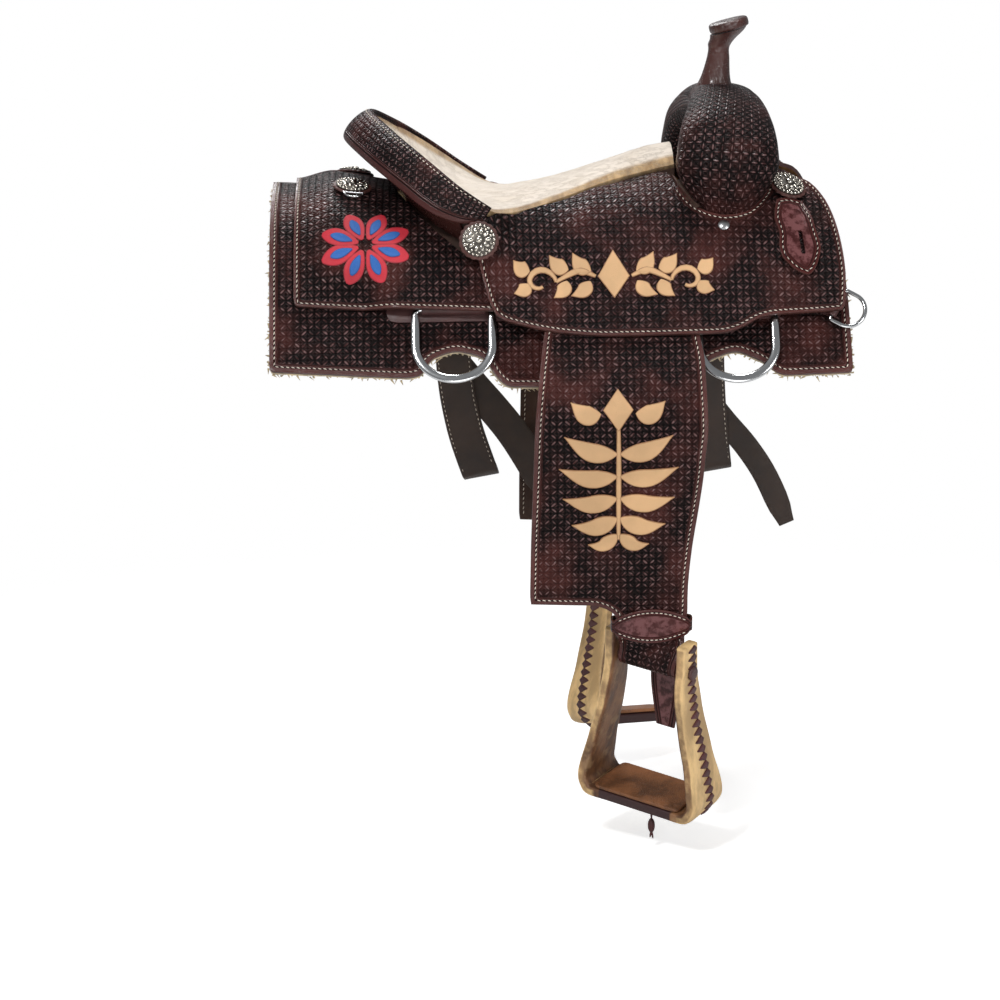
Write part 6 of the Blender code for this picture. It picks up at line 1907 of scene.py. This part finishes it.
class SADDLE_OT_fenders(bpy.types.Operator):
    """Hang the fenders, stirrup leathers and hobble straps"""
    bl_idname = "saddle.fenders"
    bl_label = "Fenders"

    def execute(self, context):
        runs = fender_cut()
        inset = look().seam_inset
        for name, side in sides.items():
            node = "fender_" + name
            fender = leather_sheet("fender_face_" + name, side, on_fender, runs, 64, 120, fender_thickness,
                                   leather_names(), runs)
            settle(fender, node, node)
            frames = border_seams(side, on_fender, runs, (1, 2, 3), inset, runs)
            frames += border_seams(side, behind_fender, runs, (2, 3), inset, runs)
            stitches("fender_stitches_" + name, node, frames)
            self.overlay(name, side)
            self.leathers(name, side)
            self.hobble(name, side)
        return {"FINISHED"}

    def overlay(self, name, side):
        """Upright sprig of leaves and a diamond in undyed leather."""
        middle = 0.052
        shapes = [([Vector((middle, 0.133)), Vector((middle, 0.179))], diamond_of(0.0165)),
                  ([Vector((middle, 0.174)), Vector((middle, 0.306))], stem_of(0.0021, 0.0008))]
        for way in (-1.0, 1.0):
            for v, reach, drop, half_width in (
                    (0.156, 0.052, -0.009, 0.0104), (0.2, 0.06, -0.016, 0.0104),
                    (0.226, 0.066, -0.006, 0.0104), (0.252, 0.062, 0.004, 0.0104),
                    (0.276, 0.052, 0.012, 0.0104), (0.296, 0.034, 0.016, 0.008)):
                start = Vector((middle + way * (0.019 if v < 0.18 else 0.0012), v + 0.004))
                end = Vector((middle + way * reach, v + drop))
                bow = Vector((0.0, 0.0075))
                shapes.append((through([start, start.lerp(end, 0.5) + bow, end], 5), leaf_of(half_width)))
        overlay("fender_overlay_" + name, "fender_" + name, on_fender, shapes, side)

    def leathers(self, name, side):
        """Stirrup leather round its bolt, with the stitches on its turned neck."""
        node = "stirrup_leather_" + name
        path = through([Vector(p) for p in leather_path()], 3)
        frames = neck_run([tuple(p) for p in path], [leather_width / 2], leather_thickness / 2)
        piece = sweep("stirrup_leather_strap_" + name, mirrored(frames, side), strap_section(), False,
                      "tooled_small")
        settle(piece, node, node)
        rows = []
        start = 0.43
        end = bolt_place - 0.01
        count = int((end - start) / look().pitch)
        for edge_side in (-1.0, 1.0):
            for k in range(count):
                centre, across, facing, down = neck_frame(mix(start, end, (k + 0.5) / count))
                base = centre + facing * (front_ply - neck_offset + leather_thickness / 2)
                point = base + across * edge_side * (leather_width / 2 - 0.005)
                rows.append((point, down * look().pitch * 0.33, across * 0.00055, facing * 0.0005))
        stitches("leather_stitches_" + name, node, mirrored(rows, side))

    def hobble(self, name, side):
        """Hobble strap: a band with an oval front, its tail and the stitches round the oval."""
        node = "hobble_strap_" + name
        front = fender_thickness / 2 + seat_gap + hobble_thickness / 2
        back = back_ply - leather_thickness / 2 - seat_gap - hobble_thickness / 2
        reach = hobble_width / 2

        def height_at(a, offset):
            if offset < front - 0.0005:
                return hobble_end_height / 2
            return mix(hobble_end_height, hobble_height, 1.0 - (a / reach) ** 2) / 2

        frames = ring_run(reach - hobble_thickness / 2, front, back, 0.006, height_at, hobble_middle)
        frames = dense_frames([(p, down, t * hobble_thickness / 2) for p, down, t in frames], 4, True)
        band = sweep("hobble_band_" + name, mirrored(frames, side), strap_section(), True, "bordered")
        path = [(back - 0.0016 - sunk, hobble_middle - 0.006 + length) for sunk, length in (
            (0.0, 0.0), (0.0004, 0.01), (0.003, 0.018), (0.0055, 0.026), (0.008, 0.034),
            (0.01, 0.042), (0.011, 0.05), (0.011, 0.07), (0.009, 0.095), (0.007, tail_length))]
        tail = neck_run(path, [tail_width / 2 * k for k in (1, 1, 1, 1, 1, 1, 1, 1, 0.95, 0.6)],
                        hobble_thickness / 2, 0.012)
        strip = sweep("hobble_tail_" + name, mirrored(dense_frames(tail, 5), side), strap_section(), False,
                      "bordered")
        settle(band, node, node)
        settle(strip, node)
        rows = []
        centre, across, facing, down = neck_frame(hobble_middle)
        for edge_side in (-1.0, 1.0):
            for k in range(15):
                a = mix(-reach + 0.01, reach - 0.01, k / 14)
                half = height_at(a, front) - 0.004
                slope = (height_at(a + 0.001, front) - height_at(a - 0.001, front)) / 0.002
                way = (across + down * slope * edge_side).normalized()
                point = centre + across * a + facing * (front + hobble_thickness / 2 - neck_offset)
                rows.append((mirror(point + down * half * edge_side, side),
                             mirror(way, side) * look().pitch * 0.33,
                             mirror(facing.cross(way), side) * 0.0006, mirror(facing, side) * 0.0005))
        stitches("hobble_stitches_" + name, node, rows)


class SADDLE_OT_stirrups(bpy.types.Operator):
    """Cover and lace the stirrups"""
    bl_idname = "saddle.stirrups"
    bl_label = "Stirrups"

    def execute(self, context):
        section = round_corners([(-1.0, -1.0), (1.0, -1.0), (1.0, 1.0), (-1.0, 1.0)], 0.42, 6)
        dense = []
        for a, b in zip(section, section[1:] + section[:1]):
            steps = 5 if math.hypot(b[0] - a[0], b[1] - a[1]) > 0.5 else 1
            dense += [(mix(a[0], b[0], k / steps), mix(a[1], b[1], k / steps)) for k in range(steps)]
        path = [Vector((p.x, 0.0, p.y)) for p in through([Vector(p) for p in leg_path()], 4)]
        last = len(path) - 1
        for name, side in sides.items():
            place_on = stirrup_frame(side)
            rings = []
            for i, p in enumerate(path):
                across = outwards.cross((path[min(i + 1, last)] - path[max(i - 1, 0)]).normalized())
                end = (0.8, 0.93, 1.0)[min(i, last - i, 2)]
                rings.append([place_on @ (p + across * a * stirrup_leg / 2 * end
                                          + outwards * (b * leg_depth(p.z) / 2 * end)) for a, b in dense])
            piece = lofted("stirrup_hide_" + name, rings, "stirrup_hide")
            self.mark(piece, place_on)
            settle(piece, "stirrup_" + name, "stirrup_" + name)
            refinish("tread_cover_" + name, 0.0012, "tread")
            self.lacing(name, place_on, path)
            if name == "right":
                self.knot(name)
        return {"FINISHED"}

    def mark(self, piece, place_on):
        """Attribute that says how far a point faces the foot."""
        back = place_on.inverted()
        held = piece.data.attributes.new("inside", "FLOAT", "POINT")
        values = []
        for vertex in piece.data.vertices:
            p = back @ vertex.co
            normal = back.to_3x3() @ vertex.normal
            inward = Vector((-p.x, 0.0, -0.06 - p.z)).normalized()
            low = smooth((-0.142 - p.z) / 0.02) * smooth((0.058 - abs(p.x)) / 0.014)
            values.append(max(0.5 + 0.5 * normal.dot(inward), 2.0 * low))
        held.data.foreach_set("value", np.array(values, np.float32))

    def lacing(self, name, place_on, path):
        """Row of pointed laces down the middle of each leg's outer face."""
        def point_form():
            bpy.ops.mesh.primitive_cylinder_add(vertices=3, radius=1.0, depth=1.5)
            edit(bpy.context.active_object, (bpy.ops.mesh.bevel, {"offset": 0.34, "segments": 3}))

        form = template(point_form)
        turn = place_on.to_3x3()
        frames = []
        outer_run = []
        for before, p, after in zip(path, path[1:], path[2:len(path) // 2 + 1]):
            tangent = (after - before).normalized()
            out = outwards.cross(tangent)
            if out.x < 0.0:
                out = -out
            outer_run.append((p + out * (stirrup_leg / 2), tangent, out))
        points = [point for point, tangent, out in outer_run]
        count = int(run_length(points) / 0.01)
        for way in (-1.0, 1.0):
            flip = Matrix.Diagonal((way, 1.0, 1.0))
            for k in range(count):
                share = (k + 0.5) / count
                index = min(int(share * len(outer_run)), len(outer_run) - 1)
                centre = flip @ at_share(points, share)
                tangent, out = (flip @ v for v in outer_run[index][1:])
                for depth, length, width in ((0.001, 0.0068, -0.0104), (0.0064, 0.006, 0.0036)):
                    frames.append((place_on @ (centre + outwards * depth), turn @ (tangent * length),
                                   turn @ (outwards * width), turn @ (out * 0.0022)))
        settle(copies("stirrup_lacing_" + name, form, frames, "lace"), "stirrup_" + name,
               slot="dark_leather")

    def knot(self, name):
        """Knotted end of the lace, which hangs below the near tread."""
        hung = []
        for x, z, wide, tall, lean in (
                (0.0904, -0.658, 0.0013, 0.0085, 0.0), (0.0902, -0.6725, 0.0042, 0.0088, 0.0),
                (0.0912, -0.6835, 0.0012, 0.005, -0.15), (0.0892, -0.683, 0.0011, 0.0042, 0.15)):
            hung.append((mirror((x, 0.1874, z), sides[name]), Vector((wide, 0.0, 0.0)),
                         Vector((0.0, wide, 0.0)), Vector((lean, 0.0, 1.0)).normalized() * tall))
        settle(copies("lace_knot_" + name, bead_form(16, 10), hung, "lace"), "stirrup_" + name,
               slot="dark_leather")


class SADDLE_OT_straps(bpy.types.Operator):
    """Loop the cinch straps through the left rings"""
    bl_idname = "saddle.straps"
    bl_label = "Cinch straps"

    def execute(self, context):
        self.loop("billet_left", rear_dee_x, rear_dee_v, billet_drop, billet_slant)
        self.loop("latigo_left", front_dee_x + 0.003, front_dee_v, latigo_drop, latigo_slant)
        self.tail("billet_left", ((-0.124, -0.202), (-0.101, -0.23), (-0.0758, -0.259),
                                  (-0.053, -0.288), (-0.03, -0.325), (-0.01, -0.362)), 0.02)
        self.tail("latigo_left", ((0.188, -0.248), (0.213, -0.28), (0.24, -0.312),
                                  (0.264, -0.35), (0.289, -0.408)), 0.015)
        return {"FINISHED"}

    def loop(self, node, x, dee_v, drop, slant):
        """Ring of strap that hangs in a dee, its two plies curving to the front lower down."""
        inner = -(dee_thickness / 2 + 0.0015 + 0.0015)
        radius = 0.0065
        points = []
        for step in range(13):
            angle = math.pi * step / 12
            points.append(lay(x, dee_v + 0.07 - math.sin(angle) * radius,
                              dee_lift + inner + radius - math.cos(angle) * radius))
        hang = lay(x, dee_v + dee_drop + 0.007, dee_lift + 0.002)
        ply = [(0.45, -0.01), (0.8, -0.04), (0.9, -0.07), (0.92, -0.1), (0.98, -0.14),
               (1.0, 0.013 - drop), (0.7, 0.0039 - drop)]
        for dy, dz in ply + [(0.0, -drop)] + [(-dy, dz) for dy, dz in reversed(ply)]:
            bend = slant * max(-dz / drop, 0.0) ** 2.4
            points.append(hang + Vector((bend, dy * 0.013, dz)))
        frames = []
        for i, point in enumerate(points):
            tangent = (points[(i + 1) % len(points)] - points[i - 1]).normalized()
            low = smooth((hang.z - point.z - 0.05) / (drop * 0.7))
            along = Vector((1.0, 0.0, 0.16 * low))
            along = (along - tangent * along.dot(tangent)).normalized()
            frames.append((point, along * 0.022, tangent.cross(along) * 0.0015))
        settle(sweep(node + "_loop", dense_frames(frames, 4, True), strap_section(), True, "strap"),
               node, node)
        rows = []
        for part in (frames[14:20], frames[22:27]):
            for edge_side in (-1.0, 1.0):
                for face in (-1.0, 1.0):
                    line = [p + a * edge_side * 0.86 + t * face for p, a, t in part]
                    out = (part[2][2] * face).normalized()
                    count = int(run_length(line) / look().pitch)
                    for k in range(count):
                        middle, way = stitch_on(line, k, count)
                        rows.append((middle, way * 0.0018, out.cross(way) * 0.0005, out * 0.0004))
        stitches(node + "_stitches", node, rows)

    def tail(self, node, marks, half_width):
        """Free end of a strap, hanging forward behind the fender."""
        line = through([Vector((x, 0.24 - 0.036 * k / len(marks), z)) for k, (x, z) in enumerate(marks)],
                       5)
        last = len(line) - 1
        frames = []
        for i, point in enumerate(line):
            tangent = (line[min(i + 1, last)] - line[max(i - 1, 0)]).normalized()
            across = outwards.cross(tangent).normalized()
            narrow = 1.0 - 0.35 * smooth((i / last - 0.86) / 0.14)
            frames.append((point, across * half_width * narrow, across.cross(tangent) * 0.0013))
        settle(sweep(node + "_free_end", frames, strap_section(), False, "strap"), node)


class SADDLE_OT_studio(bpy.types.Operator):
    """Set the floor, the lamps, the world and the camera"""
    bl_idname = "saddle.studio"
    bl_label = "Studio"

    def execute(self, context):
        setting = context.scene.studio_look
        bpy.ops.object.select_all(action="DESELECT")
        bpy.ops.mesh.primitive_circle_add(vertices=96, radius=3.2, fill_type="NGON",
                                          location=(0.0, 0.0, -0.7))
        floor = bpy.context.active_object
        floor.name = "studio_floor"
        make_active(floor)
        bpy.ops.object.transform_apply(location=True, rotation=True, scale=True)
        self.floor_finish(setting)
        floor.data.materials.append(finishes["studio_floor"])
        self.world(context)
        self.lamps(setting)
        self.camera(context, setting)
        context.scene.view_settings.view_transform = "Standard"
        return {"FINISHED"}

    def floor_finish(self, setting):
        """White floor that glows and fades out for the camera, and is plain for all else."""
        tree, shader = new_finish("studio_floor", tuple(setting.floor), 0.9)
        glow = add_node(tree, "Emission", {"Color": (1.0, 1.0, 1.0), "Strength": 0.62})
        added = add_node(tree, "AddShader")
        away = field_of(tree, "VectorMath", {0: coordinates(tree)}, "Value", operation="LENGTH")
        faded = add_node(tree, "MixShader", {0: ramp(away, 0.95, 1.6)})
        seen = add_node(tree, "MixShader", {0: field_of(tree, "LightPath", output="Is Camera Ray")})
        clear = add_node(tree, "BsdfTransparent")
        for source, target, place in ((shader, added, 0), (glow, added, 1), (added, faded, 1),
                                      (clear, faded, 2), (shader, seen, 1), (faded, seen, 2),
                                      (seen, tree.nodes["Material Output"], 0)):
            tree.links.new(source.outputs[0], target.inputs[place])

    def world(self, context):
        """White for the camera, and a soft grey light for all else."""
        world = bpy.data.worlds.new("studio")
        world.use_nodes = True
        context.scene.world = world
        tree = world.node_tree
        soft = tree.nodes["Background"]
        feed(soft.inputs["Color"], (0.95, 0.97, 1.0))
        feed(soft.inputs["Strength"], 0.19)
        white = add_node(tree, "Background", {"Color": (1.0, 1.0, 1.0), "Strength": 1.0})
        paths = add_node(tree, "LightPath").outputs
        glossy = Field(tree, paths["Is Glossy Ray"]) * 0.05
        either = add_node(tree, "MixShader", {0: calc("MAXIMUM", Field(tree, paths["Is Camera Ray"]), glossy)})
        for source, target, place in ((soft, either, 1), (white, either, 2),
                                      (either, tree.nodes["World Output"], 0)):
            tree.links.new(source.outputs[0], target.inputs[place])

    def lamps(self, setting):
        for name, place, size, share in (("key", (-1.3, -2.5, 2.4), 0.55, 1.0),
                                         ("fill", (2.2, -2.6, 1.1), 0.9, 0.42),
                                         ("top", (0.2, 0.3, 2.5), 0.8, 0.52),
                                         ("rear", (-0.6, 2.6, 1.8), 1.2, 0.5),
                                         ("low", (0.2, -2.4, -0.2), 1.2, 0.16)):
            lamp = bpy.data.lights.new("lamp_" + name, "AREA")
            lamp.shape = "DISK"
            lamp.size = size
            lamp.energy = setting.key_power * share
            holder = bpy.data.objects.new("lamp_" + name, lamp)
            bpy.context.scene.collection.objects.link(holder)
            holder.location = place
            way = Vector((0.0, 0.0, -0.15)) - Vector(place)
            holder.rotation_euler = way.to_track_quat("-Z", "Y").to_euler()

    def camera(self, context, setting):
        camera = bpy.data.cameras.new("camera")
        camera.lens = setting.lens
        camera.sensor_width = 36.0
        holder = bpy.data.objects.new("camera", camera)
        context.scene.collection.objects.link(holder)
        right = Vector((0.99965, -0.0217, -0.01545))
        up = Vector((0.01961, 0.20693, 0.97816))
        back = Vector((-0.01803, -0.97811, 0.20728))
        turn = Matrix((right, up, back)).transposed().to_4x4()
        holder.matrix_world = Matrix.Translation((-0.14277, -3.70594, 0.45891)) @ turn
        context.scene.camera = holder


class SADDLE_PT_panel(bpy.types.Panel):
    """Lists the saddle's settings, and the operators that make its pieces"""
    bl_label = "Saddle"
    bl_idname = "SADDLE_PT_panel"
    bl_space_type = "VIEW_3D"
    bl_region_type = "UI"
    bl_category = "Saddle"

    def draw(self, context):
        for settings in (context.scene.saddle_look, context.scene.studio_look):
            box = self.layout.box()
            for key in settings.__annotations__:
                box.prop(settings, key)
        for operator in operators:
            self.layout.operator(operator.bl_idname)


operators = (SADDLE_OT_studio, SADDLE_OT_skirts, SADDLE_OT_fleece, SADDLE_OT_rear_jockeys,
             SADDLE_OT_seat_jockeys, SADDLE_OT_fork, SADDLE_OT_seat, SADDLE_OT_rigging,
             SADDLE_OT_conchos, SADDLE_OT_fenders, SADDLE_OT_stirrups, SADDLE_OT_straps)
classes = (SaddleLook, StudioLook, *operators, SADDLE_PT_panel)


def register():
    for made in classes:
        bpy.utils.register_class(made)
    bpy.types.Scene.saddle_look = PointerProperty(type=SaddleLook)
    bpy.types.Scene.studio_look = PointerProperty(type=StudioLook)


def unregister():
    del bpy.types.Scene.studio_look
    del bpy.types.Scene.saddle_look
    for made in reversed(classes):
        bpy.utils.unregister_class(made)


def main():
    register()
    build_groups()
    build_finishes()
    bpy.ops.saddle.studio()
    bpy.ops.saddle.skirts()
    bpy.ops.saddle.fleece()
    bpy.ops.saddle.rear_jockeys()
    bpy.ops.saddle.seat_jockeys()
    bpy.ops.saddle.fork()
    bpy.ops.saddle.seat()
    bpy.ops.saddle.rigging()
    bpy.ops.saddle.conchos()
    bpy.ops.saddle.fenders()
    bpy.ops.saddle.stirrups()
    bpy.ops.saddle.straps()


if __name__ == "__main__":
    main()
